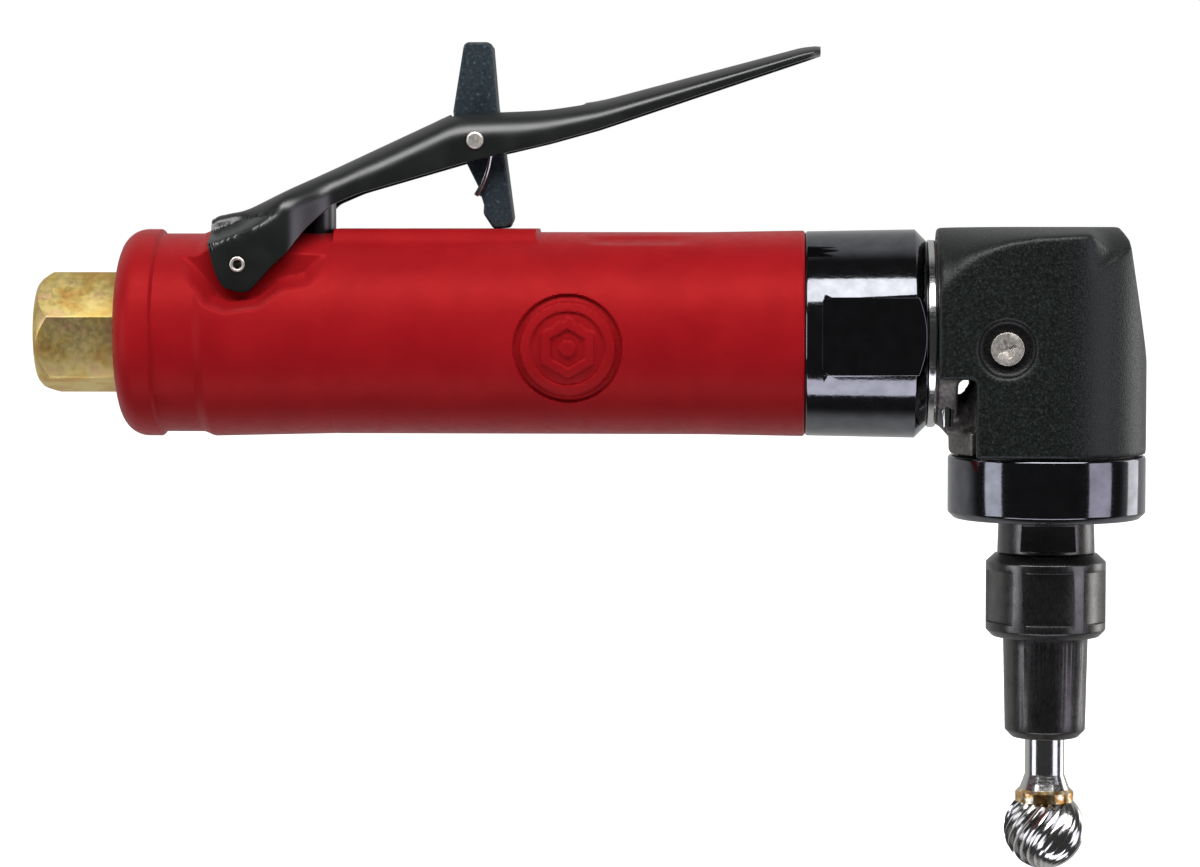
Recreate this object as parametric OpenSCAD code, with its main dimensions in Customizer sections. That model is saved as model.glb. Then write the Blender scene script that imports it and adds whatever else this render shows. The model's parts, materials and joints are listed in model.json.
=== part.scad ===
// Right-angle air die grinder. Millimetres, +Z up (the lever side), +X from the air inlet to the head.
// The origin is the mouth of the air inlet, on the motor's axis.

/* [Air inlet] */
// Width across the flats of the inlet's hexagon
inlet_af = 17.5; // [16:0.1:18.5]
// Length of the hexagon that stands out of the sleeve
inlet_nose = 13.7; // [11:0.1:20]
// Wall radius of the inlet's threaded hole
inlet_bore_r = 5.6; // [4.6:0.1:6.2]
// Depth of the inlet's threaded hole
inlet_bore_len = 12; // [9:0.1:15]
// Radius of the male thread behind the hexagon
inlet_thread_r = 7.8; // [7.2:0.1:8.2]
// Length of the male thread
inlet_thread_len = 11; // [8:0.1:11.5]

/* [Sleeve and motor case] */
// Largest radius of the moulded sleeve
sleeve_r = 16.7; // [15.9:0.1:20.1]
// Length of the sleeve
sleeve_len = 109.8; // [104:0.1:132]
// Wall of the sleeve over the motor case
sleeve_wall = 2.05; // [1.7:0.05:2.5]
// Rounding at the sleeve's rear end
sleeve_edge = 4; // [3:0.1:4.5]
// Wall of the motor case
case_wall = 1.6; // [1.3:0.05:2]
// Length of case thread inside the clamp ring
case_thread_len = 7.5; // [6:0.1:9]
// Radius of the medallion's groove
medallion_r = 8.7; // [7:0.1:9.5]

/* [Motor] */
// Length of the motor cylinder
cylinder_len = 40; // [32:0.5:42]
// Radius of the cylinder's bore
cylinder_bore_r = 10.2; // [9:0.1:10.4]
// Offset of the cylinder's bore from the rotor's axis
cylinder_offset = 1; // [0.8:0.05:1.2]
// Closest approach of the rotor to the cylinder
rotor_gap = 0.15; // [0.12:0.01:0.25]
// Number of vanes
vane_count = 5; // [4:1:6]
// Thickness of a vane
vane_t = 1.2; // [1:0.1:1.6]

/* [Clamp ring] */
// Length of the clamp ring
ring_len = 19.5; // [18.5:0.1:24]
// Distance of a wrench flat from the motor's axis
ring_flat = 15.1; // [14.7:0.1:15.6]
// Half the height of a wrench flat
ring_flat_half = 6.1; // [5:0.1:7]
// Thickness of the bright collar between the ring and the head
collar_len = 1.5; // [1.2:0.1:2]

/* [Angle head] */
// Distance from the collar to the spindle's axis
neck_len = 17.8; // [17.4:0.1:19]
// Radius of the head about the spindle's axis
head_r = 15.8; // [15.6:0.1:17.5]
// Height of the head's top above the motor's axis
head_top = 17.3; // [16.9:0.1:19]
// Depth of the head's lower edge below the motor's axis
head_drop = 19.1; // [18.6:0.1:21]
// Wall of the head's cover
cover_wall = 1.55; // [1.3:0.05:1.8]
// Height of the bearing cap
cap_len = 10.1; // [9.6:0.1:13]

/* [Gears] */
// Teeth on the bevel pinion
pinion_teeth = 12; // [12:2:14]
// Teeth on the bevel gear, an even number
gear_teeth = 18; // [18:2:18]
// Tooth module
tooth_module = 1; // [0.9:0.05:1]
// Face width of the teeth
face_len = 3.8; // [3:0.1:4]
// Play between the teeth
backlash = 0.3; // [0.2:0.05:0.5]

/* [Spindle, collet and burr] */
// Radius of the spindle in its lower bearing
spindle_r = 5; // [4.8:0.1:5.2]
// Radius of the spindle's nose below the cap
nose_r = 7.8; // [7.2:0.1:8.4]
// Length of the nose below the cap
nose_len = 5.5; // [4:0.1:7]
// Width across the flats of the collet nut
nut_af = 17.5; // [16.5:0.1:18.5]
// Length of the nut's hexagonal part
nut_len = 13.3; // [11:0.1:16]
// Radius of the nut's round nose
nut_nose_r = 6.8; // [6.7:0.1:7.4]
// Length of the nut's round nose
nut_nose_len = 16.3; // [13:0.1:20]
// Radius of the burr's shank
shank_r = 3.175; // [3:0.005:3.3]
// Length of the shank that stands out of the nut
shank_out = 8.4; // [6:0.1:20]
// Radius of the ball head
burr_r = 6.5; // [5.5:0.1:8]

/* [Throttle lever] */
// Distance from the hinge to the lever's tip, along the body
lever_reach = 92.7; // [88:0.1:112]
// Width of the lever's channel
lever_w = 13; // [12.5:0.1:14]
// Thickness of the lever's sheet
lever_sheet = 1.6; // [1.4:0.1:1.7]
// Radius of the hinge pin
pin_r = 1.3; // [1.1:0.05:1.5]
// Distance from the sleeve's rear face to the hinge
pin_back = 19.9; // [19.5:0.1:24]
// Depth of the hinge under the sleeve's top
pin_drop = 5.5; // [5:0.1:6]

/* [Lock lever] */
// Distance from the hinge to the lock's pin, along the body
lock_back = 37.4; // [37:0.1:40]
// Height of the lock's pin above the hinge
lock_rise = 19.7; // [19.5:0.1:20]
// Thickness of the lock lever
lock_t = 5.6; // [4.6:0.1:5.8]
// Radius of the lock's pin
lock_pin_r = 1.44; // [1.2:0.02:1.5]

/* [Throttle valve] */
// Distance from the hinge to the plunger, along the body
plunger_back = 11.4; // [11:0.1:12.5]
// Radius of the plunger
plunger_r = 3; // [2.6:0.1:3.2]
// Radius of the throttle ball
ball_r = 3.4; // [3.1:0.1:3.6]
// Radius of the valve seat's hole
seat_hole_r = 2.4; // [2:0.1:2.6]

/* [Hidden] */

$fn = 96;
// A cut runs this far past the face that it opens
past = 1;
// Clearance of pieces that are fastened together
fit_gap = 0.03;
// Radial clearance of a turning or sliding fit
run_gap = 0.06;
// Clearance of pieces that move past each other in the open
free_gap = 0.3;

// Stations along the motor's axis, from the inlet to the head
sleeve_x0 = inlet_nose;
sleeve_x1 = sleeve_x0 + sleeve_len;
ring_x1 = sleeve_x1 + ring_len;
head_x0 = ring_x1 + collar_len;
spindle_x = head_x0 + neck_len;
head_x1 = spindle_x + head_r;

// Sleeve and case
rear_wall = 1.8;
muffler_len = 2.4;
case_x0 = sleeve_x0 + rear_wall + muffler_len + 2 * fit_gap;
case_x1 = sleeve_x1 + case_thread_len;
sleeve_bore_r = sleeve_r - sleeve_wall;
case_r = sleeve_bore_r - fit_gap;
case_bore_r = case_r - case_wall;
case_thread_r = case_r - 0.6;
hex_corner_r = inlet_af / 2 / cos(30);
rear_hole_r = hex_corner_r + 0.8;
groove_x0 = sleeve_x0 + 6.6;
groove_x1 = groove_x0 + 6.5;
groove_depth = 0.7;
waist_r = sleeve_r - 0.45;
duct_half = 5;
duct_depth = 0.8;
o_ring_seat = 1.2;
inlet_turn = 14.3;

// Lever hinge, plunger and lock
pin_x = sleeve_x0 + pin_back;
pin_z = sleeve_r - pin_drop;
cheek_y = 10.1;
cheek_liner = 1.1;
valve_x = pin_x + plunger_back;
lock_x = pin_x + lock_back;
lock_z = pin_z + lock_rise;
pad_x0 = valve_x + 2.9;
pad_x1 = lock_x + 10;
pad_half = 6;
pad_z = sleeve_r + 0.1;
lock_floor_z = sleeve_r - 3.05;
lock_slot_x0 = lock_x - 11;
lock_slot_x1 = lock_x + 6.4;
lock_slot_half = lock_t / 2 + 0.5;
medallion_x = sleeve_x0 + 72.6;
medallion_z = -2;

// Valve
seat_z0 = 4;
seat_h = 2.5;
chamber_r = 5;
chamber_z0 = -10;
gallery_z = 8.6;
gallery_r = 1.9;
passage_r = 3.5;
bush_z0 = 10.5;
bush_z1 = sqrt(pow(sleeve_bore_r, 2) - pow(chamber_r, 2)) - 0.1;
plunger_step_z = seat_z0 + seat_h + 2.8;
ball_z = seat_z0 - sqrt(pow(ball_r, 2) - pow(seat_hole_r, 2)) - 0.1;
valve_spring_r = 2.6;
plunger_top = pin_z + 10.7;

// Motor stations, set from the case's front end
front_plate_len = 7;
rear_plate_len = 8;
front_plate_x1 = sleeve_x1 - 14.5;
cylinder_x1 = front_plate_x1 - front_plate_len;
cylinder_x0 = cylinder_x1 - cylinder_len;
rear_plate_x0 = cylinder_x0 - rear_plate_len;
plate_r = case_bore_r - fit_gap;
rotor_r = cylinder_bore_r - cylinder_offset - rotor_gap;
rotor_rear_r = 3;
rotor_front_r = 4;
rotor_bearing_len = 5;
rear_bearing_r = 8;
front_bearing_r = 9;
rear_bearing_x = cylinder_x0 - 2.5 - rotor_bearing_len;
front_bearing_x = cylinder_x1 + 1.5;
drive_hex_r = 3.4;
drive_x0 = front_plate_x1 + 2.5;
drive_x1 = drive_x0 + 8;
dowel_r = 1;
dowel_y = 4.5;
dowel_z = case_bore_r - 2.8;

// Neck of the angle head
neck_x0 = front_plate_x1 + 9;
neck_r = case_bore_r - 0.1;
flange_len = 3.5;
flange_x1 = case_x1 + flange_len;
pinion_shaft_r = 4.5;
neck_bush_r = 7;
neck_bush_len = 8;
pinion_bearing_r = 10.5;
pinion_bearing_len = 7;
pinion_bearing_x = head_x0 - 6.7;
flange_disc_r = 14.8;
flange_disc_len = 3.2;

// Bevel gears, with their common apex on the spindle's axis
pinion_angle = atan(pinion_teeth / gear_teeth);
cone_len = tooth_module * sqrt(pow(pinion_teeth, 2) + pow(gear_teeth, 2)) / 2;
addendum = 0.8 * tooth_module;
dedendum = 1.1 * tooth_module;

// Head
housing_r = head_r - cover_wall - 0.1;
chamber_gear_r = 11.5;
upper_bearing_r = 8;
upper_bearing_z = 7.5;
upper_bearing_len = 5;
lower_bearing_r = 12;
lower_bearing_len = 8;
lower_bearing_z = -head_drop - 5.4;
corner_x = spindle_x - 11.9;
corner_z = -6.8;
heel_h = 3.9;
skirt_r = housing_r - 0.25;
cap_z1 = -head_drop - 0.3;
cap_z0 = cap_z1 - cap_len;
cap_floor = 3.4;
skirt_z0 = cap_z0 + cap_floor + 0.1;
cover_screw_x = head_x0 + 10.7;
cover_screw_z = -1.9;
spindle_top_r = 4;
shoulder_r = 6;

// Spindle nose, nut and burr, downwards
nose_z0 = cap_z0 - nose_len;
stub_r = 6.3;
stub_len = 11;
stub_bore_r = 4.8;
nut_z1 = nose_z0 - 0.2;
nut_z0 = nut_z1 - nut_len;
nut_tip_z = nut_z0 - nut_nose_len;
nut_corner_r = min(nut_af / 2 / cos(30), nut_af / 2 + 0.85);
collet_r = nut_nose_r - 1.1;
collet_tip_r = nut_nose_r - 2.4;
collet_z1 = nose_z0 - 4.5;
collet_z0 = nut_tip_z + 2.8;
shank_z0 = nut_tip_z - shank_out;
braze_h = 2;
braze_r = 4.7;
burr_z = shank_z0 - braze_h - sqrt(pow(burr_r, 2) - pow(braze_r, 2));

// Points of an arc about c, from angle a0 to a1
function arc(c, r, a0, a1, steps = 6) =
  [for (i = [0:steps]) c + r * [cos(a0 + (a1 - a0) * i / steps), sin(a0 + (a1 - a0) * i / steps)]];

// A profile of [radius, x] turned about the motor's axis
module about_x(profile) rotate([0, 90, 0]) rotate_extrude() polygon(profile);

// A profile of [radius, z] turned about the spindle's axis
module about_z(profile) translate([spindle_x, 0, 0]) rotate_extrude() polygon(profile);

// A round bar along the motor's axis
module rod_x(r, x0, x1) translate([x0, 0, 0]) rotate([0, 90, 0]) cylinder(r = r, h = x1 - x0);

// A round bar across the body, centred on it
module rod_y(r, half) rotate([90, 0, 0]) cylinder(r = r, h = 2 * half, center = true);

// A plate with an outline in X and Z, between two values of Y
module side_plate(outline, y0, y1)
  translate([0, y1, 0]) rotate([90, 0, 0]) linear_extrude(y1 - y0) polygon(outline);

// A box from one corner to the opposite one
module block(low, high) translate(low) cube(high - low);

// One piece of a ball bearing, about +Z from z = 0
module bearing(piece, bore_r, outer_r, len, balls) {
  mid_r = (bore_r + outer_r) / 2;
  ball = (outer_r - bore_r) * 0.26;
  land = (outer_r - bore_r) * 0.13;
  if (piece == "outer") difference() {
    cylinder(r = outer_r, h = len);
    translate([0, 0, -past]) cylinder(r = mid_r + land, h = len + 2 * past);
    translate([0, 0, len / 2]) rotate_extrude() translate([mid_r, 0]) circle(r = ball + 0.14);
  }
  if (piece == "inner") difference() {
    cylinder(r = mid_r - land, h = len);
    translate([0, 0, -past]) cylinder(r = bore_r, h = len + 2 * past);
    translate([0, 0, len / 2]) rotate_extrude() translate([mid_r, 0]) circle(r = ball + 0.02);
  }
  if (piece == "balls") for (i = [0:balls - 1])
    rotate([0, 0, 360 * i / balls]) translate([mid_r, 0, len / 2]) sphere(r = ball);
}

module rotor_rear_bearing(piece) translate([rear_bearing_x, 0, 0]) rotate([0, 90, 0])
  bearing(piece, rotor_rear_r + fit_gap, rear_bearing_r - fit_gap, rotor_bearing_len, 8);
module rotor_front_bearing(piece) translate([front_bearing_x, 0, 0]) rotate([0, 90, 0])
  bearing(piece, rotor_front_r + fit_gap, front_bearing_r - fit_gap, rotor_bearing_len, 8);
module pinion_bearing(piece) translate([pinion_bearing_x, 0, 0]) rotate([0, 90, 0])
  bearing(piece, pinion_shaft_r + fit_gap, pinion_bearing_r - fit_gap, pinion_bearing_len, 8);
module spindle_upper_bearing(piece) translate([spindle_x, 0, upper_bearing_z])
  bearing(piece, spindle_top_r + fit_gap, upper_bearing_r - fit_gap, upper_bearing_len, 8);
module spindle_lower_bearing(piece) translate([spindle_x, 0, lower_bearing_z])
  bearing(piece, spindle_r + fit_gap, lower_bearing_r - fit_gap, lower_bearing_len, 9);

// The hollows beside the body that the lever's cheeks swing in, outside |Y| = y
recess_outline = [for (p = [[-9, 8], [-9, 3.5], [-7.6, 0.8], [-3.6, -4.7], [-1.3, -5.6], [2.8, -5],
  [6.4, -2.2], [10.4, -1.4], [13.4, 2.2], [13.6, 8]]) [pin_x, pin_z] + p];
module recess(y) for (side = [-1, 1])
  side_plate(recess_outline, side > 0 ? y : -2 * sleeve_r, side > 0 ? 2 * sleeve_r : -y);

// Flats on the case under those hollows, outside |Y| = y
module case_flats(y) for (side = [-1, 1])
  block([pin_x - 10.5, side > 0 ? y : -2 * sleeve_r, pin_z - 7],
        [pin_x + 14, side > 0 ? 2 * sleeve_r : -y, 2 * sleeve_r]);

module housing_sleeve() color("firebrick") difference() {
  union() {
    about_x(concat([[0, sleeve_x0]],
      arc([sleeve_r - sleeve_edge, sleeve_x0 + sleeve_edge], sleeve_edge, -90, 0),
      [[sleeve_r, groove_x0 - 0.5], [sleeve_r - groove_depth, groove_x0], [sleeve_r - groove_depth, groove_x1],
       [sleeve_r, groove_x1 + 1.6], [waist_r, groove_x1 + 21.2], [waist_r, sleeve_x1 - 15.5],
       [sleeve_r - 0.2, sleeve_x1], [0, sleeve_x1]]));
    block([pad_x0, -pad_half, 0], [pad_x1, pad_half, pad_z]);
  }
  rod_x(rear_hole_r, sleeve_x0 - past, sleeve_x0 + rear_wall + past);
  difference() {
    rod_x(sleeve_bore_r, sleeve_x0 + rear_wall, sleeve_x1 + past);
    case_flats(cheek_y - cheek_liner);
  }
  recess(cheek_y);
  translate([pin_x, 0, pin_z]) rod_y(pin_r, sleeve_r);
  translate([valve_x, 0, 0]) cylinder(r = plunger_r + free_gap, h = 2 * sleeve_r);
  block([lock_slot_x0, -lock_slot_half, lock_floor_z], [lock_slot_x1, lock_slot_half, 2 * sleeve_r]);
  block([case_x0, -duct_half, -sleeve_bore_r - duct_depth], [cylinder_x1, duct_half, 0]);
  translate([medallion_x, -sleeve_r + 1.2, medallion_z]) rotate([90, 0, 0]) difference() {
    cylinder(r = medallion_r, h = sleeve_r);
    translate([0, 0, -past]) cylinder(r = medallion_r - 1.1, h = sleeve_r + 2 * past);
  }
}

module motor_case() color("silver") difference() {
  about_x([[0, case_x0], [case_r - 1, case_x0], [case_r, case_x0 + 1], [case_r, sleeve_x1 + 0.4],
    [case_thread_r, sleeve_x1 + 1], [case_thread_r, case_x1 - 0.6], [case_thread_r - 0.6, case_x1],
    [0, case_x1]]);
  rod_x(inlet_thread_r + fit_gap, case_x0 - past, case_x0 + inlet_thread_len + 0.5);
  rod_x(inlet_thread_r + o_ring_seat, case_x0 - past, case_x0 + o_ring_seat);
  rod_x(passage_r, case_x0, valve_x);
  translate([valve_x, 0, chamber_z0]) cylinder(r = chamber_r, h = 2 * sleeve_r);
  translate([0, 0, gallery_z]) rod_x(gallery_r, valve_x, rear_plate_x0 + past);
  rod_x(case_bore_r, rear_plate_x0, case_x1 + past);
  translate([pin_x, 0, pin_z]) rod_y(pin_r, sleeve_r);
  case_flats(cheek_y - cheek_liner - fit_gap);
  block([lock_slot_x0, -lock_slot_half - 0.3, lock_floor_z],
        [lock_slot_x1, lock_slot_half + 0.3, 2 * sleeve_r]);
  block([cylinder_x0 + 10, -duct_half, -sleeve_r], [cylinder_x1 - 8, duct_half, -case_bore_r + past]);
}

module inlet_bushing() color("goldenrod") difference() {
  union() {
    intersection() {
      rotate([inlet_turn, 0, 0]) rotate([0, 90, 0]) cylinder(r = hex_corner_r, h = case_x0, $fn = 6);
      about_x([[0, 0], [inlet_af / 2 - 0.7, 0], [inlet_af / 2, 0.6], [hex_corner_r, 2.6],
        [hex_corner_r, case_x0], [0, case_x0]]);
    }
    about_x([[0, case_x0 - past], [inlet_thread_r, case_x0 - past],
      [inlet_thread_r, case_x0 + inlet_thread_len - 1],
      [inlet_thread_r - 1, case_x0 + inlet_thread_len], [0, case_x0 + inlet_thread_len]]);
  }
  about_x([[0, -past], [inlet_bore_r, -past], [inlet_bore_r, inlet_bore_len],
    [passage_r, inlet_bore_len + 1.5], [passage_r, case_x0 + 5], [0, case_x0 + 5]]);
  rod_x(inlet_thread_r - 2.2, case_x0 + 5, case_x0 + inlet_thread_len + past);
}

module inlet_screen() color("silver") translate([case_x0 + inlet_thread_len - 5, 0, 0]) rotate([0, 90, 0])
  difference() {
  screen_r = inlet_thread_r - 2.2 - fit_gap;
  cylinder(r = screen_r, h = 4);
  translate([0, 0, 0.5]) cylinder(r = screen_r - 0.6, h = 4);
  for (i = [0:5]) rotate([0, 0, 60 * i]) translate([screen_r * 0.55, 0, -past]) cylinder(r = 0.9, h = 3);
  translate([0, 0, -past]) cylinder(r = 0.9, h = 3);
}

module inlet_o_ring() color("black") rotate([0, 90, 0]) translate([0, 0, case_x0 + o_ring_seat / 2])
  rotate_extrude() translate([inlet_thread_r + o_ring_seat / 2, 0]) circle(r = o_ring_seat / 2 - fit_gap);

module exhaust_muffler() color("darkgray") difference() {
  rod_x(case_r - 1.2, sleeve_x0 + rear_wall + fit_gap, case_x0 - fit_gap);
  rod_x(hex_corner_r + 0.2, sleeve_x0, case_x0 + past);
}

module lever_pin() color("silver") translate([pin_x, 0, pin_z]) difference() {
  rod_y(pin_r - 0.02, cheek_y + 2);
  rod_y(pin_r * 0.55, cheek_y + 3);
}

module plunger_bush() color("goldenrod") translate([valve_x, 0, 0]) difference() {
  translate([0, 0, bush_z0]) cylinder(r = chamber_r - fit_gap, h = bush_z1 - bush_z0);
  cylinder(r = plunger_r + run_gap, h = 2 * sleeve_r);
  translate([0, 0, bush_z0 + 1.5]) cylinder(r = plunger_r + 1, h = 1.1);
}

module plunger_o_ring() color("black") translate([valve_x, 0, bush_z0 + 2.05])
  rotate_extrude() translate([plunger_r + 0.53, 0]) circle(r = 0.45);

module valve_seat() color("goldenrod") translate([valve_x, 0, seat_z0]) difference() {
  cylinder(r = chamber_r - fit_gap, h = seat_h);
  translate([0, 0, -past]) cylinder(r = seat_hole_r, h = seat_h + 2 * past);
}

// A coil of round wire about +Z: its mean radius, wire radius, turns, height and first angle
module coil(mean_r, wire_r, turns, height, start = 0) {
  steps = ceil(turns * 16);
  sides = 8;
  pitch_angle = atan(height / turns / (2 * PI * mean_r));
  rings = [for (i = [0:steps]) let (a = start + 360 * turns * i / steps) [for (k = [0:sides - 1])
    let (u = wire_r * cos(360 * k / sides), v = wire_r * sin(360 * k / sides))
    [(mean_r + u) * cos(a) + v * sin(pitch_angle) * sin(a),
     (mean_r + u) * sin(a) - v * sin(pitch_angle) * cos(a),
     height * i / steps + v * cos(pitch_angle)]]];
  points = [for (ring = rings) each ring];
  walls = [for (i = [0:steps - 1], k = [0:sides - 1]) let (n = (k + 1) % sides)
    each [[i * sides + k, (i + 1) * sides + k, (i + 1) * sides + n],
      [i * sides + k, (i + 1) * sides + n, i * sides + n]]];
  ends = [[for (k = [0:sides - 1]) k], [for (k = [sides - 1:-1:0]) steps * sides + k]];
  polyhedron(points, concat(walls, ends));
}

module valve_spring() color("silver") translate([valve_x, 0, chamber_z0 + 0.35])
  coil(valve_spring_r, 0.3, 5, ball_z - sqrt(pow(ball_r, 2) - pow(valve_spring_r, 2)) - chamber_z0 - 0.9);

// A dowel hole through an end plate and into the cylinder
module dowel_hole(r) translate([0, dowel_y, dowel_z]) rod_x(r, rear_plate_x0, front_plate_x1 + past);

module rear_end_plate() color("gray") difference() {
  rod_x(plate_r, rear_plate_x0 + fit_gap, cylinder_x0 - fit_gap);
  rod_x(rear_bearing_r, rear_plate_x0 - past, rear_bearing_x + rotor_bearing_len);
  rod_x(rotor_rear_r + free_gap, rear_plate_x0, cylinder_x0 + past);
  dowel_hole(dowel_r + fit_gap);
  translate([0, 0, gallery_z + 1.4]) rod_x(1.2, rear_plate_x0 - past, cylinder_x0 + past);
}

module front_end_plate() color("gray") difference() {
  rod_x(plate_r, cylinder_x1 + fit_gap, front_plate_x1);
  rod_x(front_bearing_r, front_bearing_x, front_plate_x1 + past);
  rod_x(rotor_front_r + free_gap, cylinder_x1 - past, front_plate_x1);
  dowel_hole(dowel_r + fit_gap);
}

module motor_cylinder() color("gray") difference() {
  rod_x(plate_r, cylinder_x0, cylinder_x1);
  translate([0, 0, -cylinder_offset]) rod_x(cylinder_bore_r, cylinder_x0 - past, cylinder_x1 + past);
  dowel_hole(dowel_r + fit_gap);
  for (i = [0:4])
    block([cylinder_x0 + 8 + 5 * i, -4, -sleeve_r], [cylinder_x0 + 10 + 5 * i, 4, -cylinder_bore_r + 1]);
  for (i = [0:3]) translate([cylinder_x0 + 8 + 8 * i, -dowel_y, 0]) cylinder(r = 0.9, h = dowel_z);
  translate([0, -dowel_y, dowel_z]) rod_x(0.9, cylinder_x0 - past, cylinder_x0 + 34);
}

module end_plate_dowels() color("silver") for (x = [cylinder_x0 - 5, cylinder_x1 - 5])
  translate([0, dowel_y, dowel_z]) rod_x(dowel_r, x, x + 10);

module motor_spacer() color("silver") difference() {
  rod_x(plate_r, front_plate_x1 + fit_gap, neck_x0 - fit_gap);
  rod_x(neck_bush_r + 1, front_plate_x1, neck_x0);
}

module clamp_ring() color("black") difference() {
  about_x([[case_r + fit_gap, sleeve_x1], [sleeve_r - 0.6, sleeve_x1], [sleeve_r - 0.3, sleeve_x1 + 0.4],
    [sleeve_r, ring_x1 - 2], [sleeve_r - 2, ring_x1], [neck_r + fit_gap, ring_x1],
    [neck_r + fit_gap, flange_x1 + fit_gap], [case_thread_r + fit_gap, flange_x1 + fit_gap],
    [case_thread_r + fit_gap, sleeve_x1 + 1.5], [case_r + fit_gap, sleeve_x1 + 0.9]]);
  for (side = [-1, 1]) wrench_flat(side);
}

// A wrench flat with rounded corners at its closed end
module wrench_flat(side) translate([0, side * ring_flat, 0]) rotate([side > 0 ? -90 : 90, 0, 0]) {
  corner = 1.5;
  x0 = sleeve_x1 + 2.8;
  linear_extrude(sleeve_r) union() {
    translate([x0 + corner, -ring_flat_half]) square([ring_len, 2 * ring_flat_half]);
    translate([x0, -ring_flat_half + corner]) square([ring_len, 2 * (ring_flat_half - corner)]);
    for (z = [-1, 1]) translate([x0 + corner, z * (ring_flat_half - corner)]) circle(r = corner);
  }
}

module head_collar() color("silver") about_x([
  [neck_r + fit_gap, ring_x1 + fit_gap], [sleeve_r - 1.7, ring_x1 + fit_gap], [sleeve_r - 1.7, head_x0 - 0.4],
  [sleeve_r - 2.1, head_x0 - fit_gap], [neck_r + fit_gap, head_x0 - fit_gap]]);

// The head's outer form, drawn in by inset and open to the ring and downwards by opening
module head_form(inset = 0, opening = 0) {
  r = head_r - inset;
  r_motor = sleeve_r + 0.2 - inset;
  top = head_top - inset;
  intersection() {
    side_plate([[head_x0 - opening, -head_drop - opening], [head_x0 - opening, top - 0.4], [spindle_x + 8, top],
      [spindle_x + 11.1 - inset / 2, top], [spindle_x + 12.4 - inset / 2, top - 2.3],
      [head_x1 - 1.4 - inset, 3.3], [head_x1 - inset, -4.5],
      [head_x1 - inset, -head_drop - opening]], -head_r, head_r);
    translate([spindle_x, 0, -2 * head_drop]) union() {
      cylinder(r = r, h = 4 * head_drop);
      translate([-neck_len - opening, -r, 0]) cube([neck_len + opening, 2 * r, 4 * head_drop]);
    }
    union() {
      rod_x(r_motor + 0.2, head_x0 - opening, head_x1 + past);
      block([head_x0 - opening, -r_motor, -head_drop - opening], [head_x1 + past, r_motor, 0]);
    }
  }
}

module cover_screw_at(side) translate([cover_screw_x, side * head_r, cover_screw_z])
  rotate([side > 0 ? -90 : 90, 0, 0]) children();

module angle_housing() color("silver") difference() {
  union() {
    intersection() {
      head_form(cover_wall + 0.1, past);
      union() {
        block([head_x0, -head_r, corner_z], [head_x1, head_r, head_top]);
        translate([spindle_x, 0, -head_drop]) cylinder(r = housing_r, h = head_drop);
      }
    }
    translate([spindle_x, 0, skirt_z0]) cylinder(r = skirt_r, h = head_drop);
    intersection() {
      translate([spindle_x, 0, -head_drop]) cylinder(r = head_r - 0.1, h = heel_h);
      block([head_x0, -head_r, -head_drop], [corner_x - 0.1, head_r, 0]);
    }
    intersection() {
      rod_x(flange_disc_r, head_x0, head_x0 + flange_disc_len);
      block([head_x0, -housing_r, -head_r], [head_x1, housing_r, head_r]);
    }
    rod_x(neck_r, neck_x0, head_x0);
    rod_x(case_thread_r - fit_gap, case_x1 + fit_gap, flange_x1);
  }
  rod_x(neck_bush_r, neck_x0 - past, neck_x0 + neck_bush_len);
  rod_x(pinion_shaft_r + 0.5, neck_x0, spindle_x);
  rod_x(pinion_bearing_r, pinion_bearing_x, spindle_x);
  chamber_z0 = lower_bearing_z + lower_bearing_len;
  translate([spindle_x, 0, chamber_z0]) cylinder(r = chamber_gear_r, h = upper_bearing_z - 0.5 - chamber_z0);
  translate([spindle_x, 0, 0]) cylinder(r = upper_bearing_r, h = upper_bearing_z + upper_bearing_len + 0.5);
  translate([spindle_x, 0, lower_bearing_z - 10]) cylinder(r = lower_bearing_r, h = lower_bearing_len + 10);
  for (side = [-1, 1]) cover_screw_at(side) translate([0, 0, -5]) cylinder(r = 1.5 + fit_gap, h = 5);
  neck_screw_holes(1 + fit_gap);
}

// Two small screws that stand in the corner between the flange and the head
module neck_screw_holes(r) for (side = [-1, 1])
  translate([head_x0 + flange_disc_len / 2, side * 8, -flange_disc_r]) cylinder(r = r, h = 6);

module neck_screws() color("silver") for (side = [-1, 1])
  translate([head_x0 + flange_disc_len / 2, side * 8, -flange_disc_r]) union() {
    translate([0, 0, 1.5]) cylinder(r = 1, h = 4.4);
    translate([0, 0, 0.3]) cylinder(r = 0.9, h = 1.3);
  }

module head_cover() color("#1c1c1e") difference() {
  head_form();
  head_form(cover_wall, past);
  block([head_x0 - past, -sleeve_r - past, -head_drop - past], [corner_x, sleeve_r + past, corner_z]);
  for (side = [-1, 1]) cover_screw_at(side) {
    translate([0, 0, -1]) cylinder(r = 4.5, h = 4);
    translate([0, 0, -4]) cylinder(r = 1.6, h = 5);
  }
}

module cover_screws() color("silver") for (side = [-1, 1]) cover_screw_at(side) difference() {
  union() {
    translate([0, 0, -4.8]) cylinder(r = 1.5, h = 4.8 - 0.9);
    translate([0, 0, -0.95]) cylinder(r = 2.6, h = 0.7);
  }
  for (turn = [0, 90]) rotate([0, 0, turn + 20]) translate([-1.5, -0.3, -0.75]) cube([3, 0.6, 1]);
}

module bearing_cap() color("black") about_z([
  [nose_r + free_gap, cap_z0], [head_r - 1, cap_z0], [head_r, cap_z0 + 1],
  [head_r, cap_z1 - 0.3], [head_r - 0.3, cap_z1], [skirt_r + fit_gap, cap_z1],
  [skirt_r + fit_gap, cap_z0 + cap_floor], [nose_r + free_gap, cap_z0 + cap_floor]]);

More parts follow.
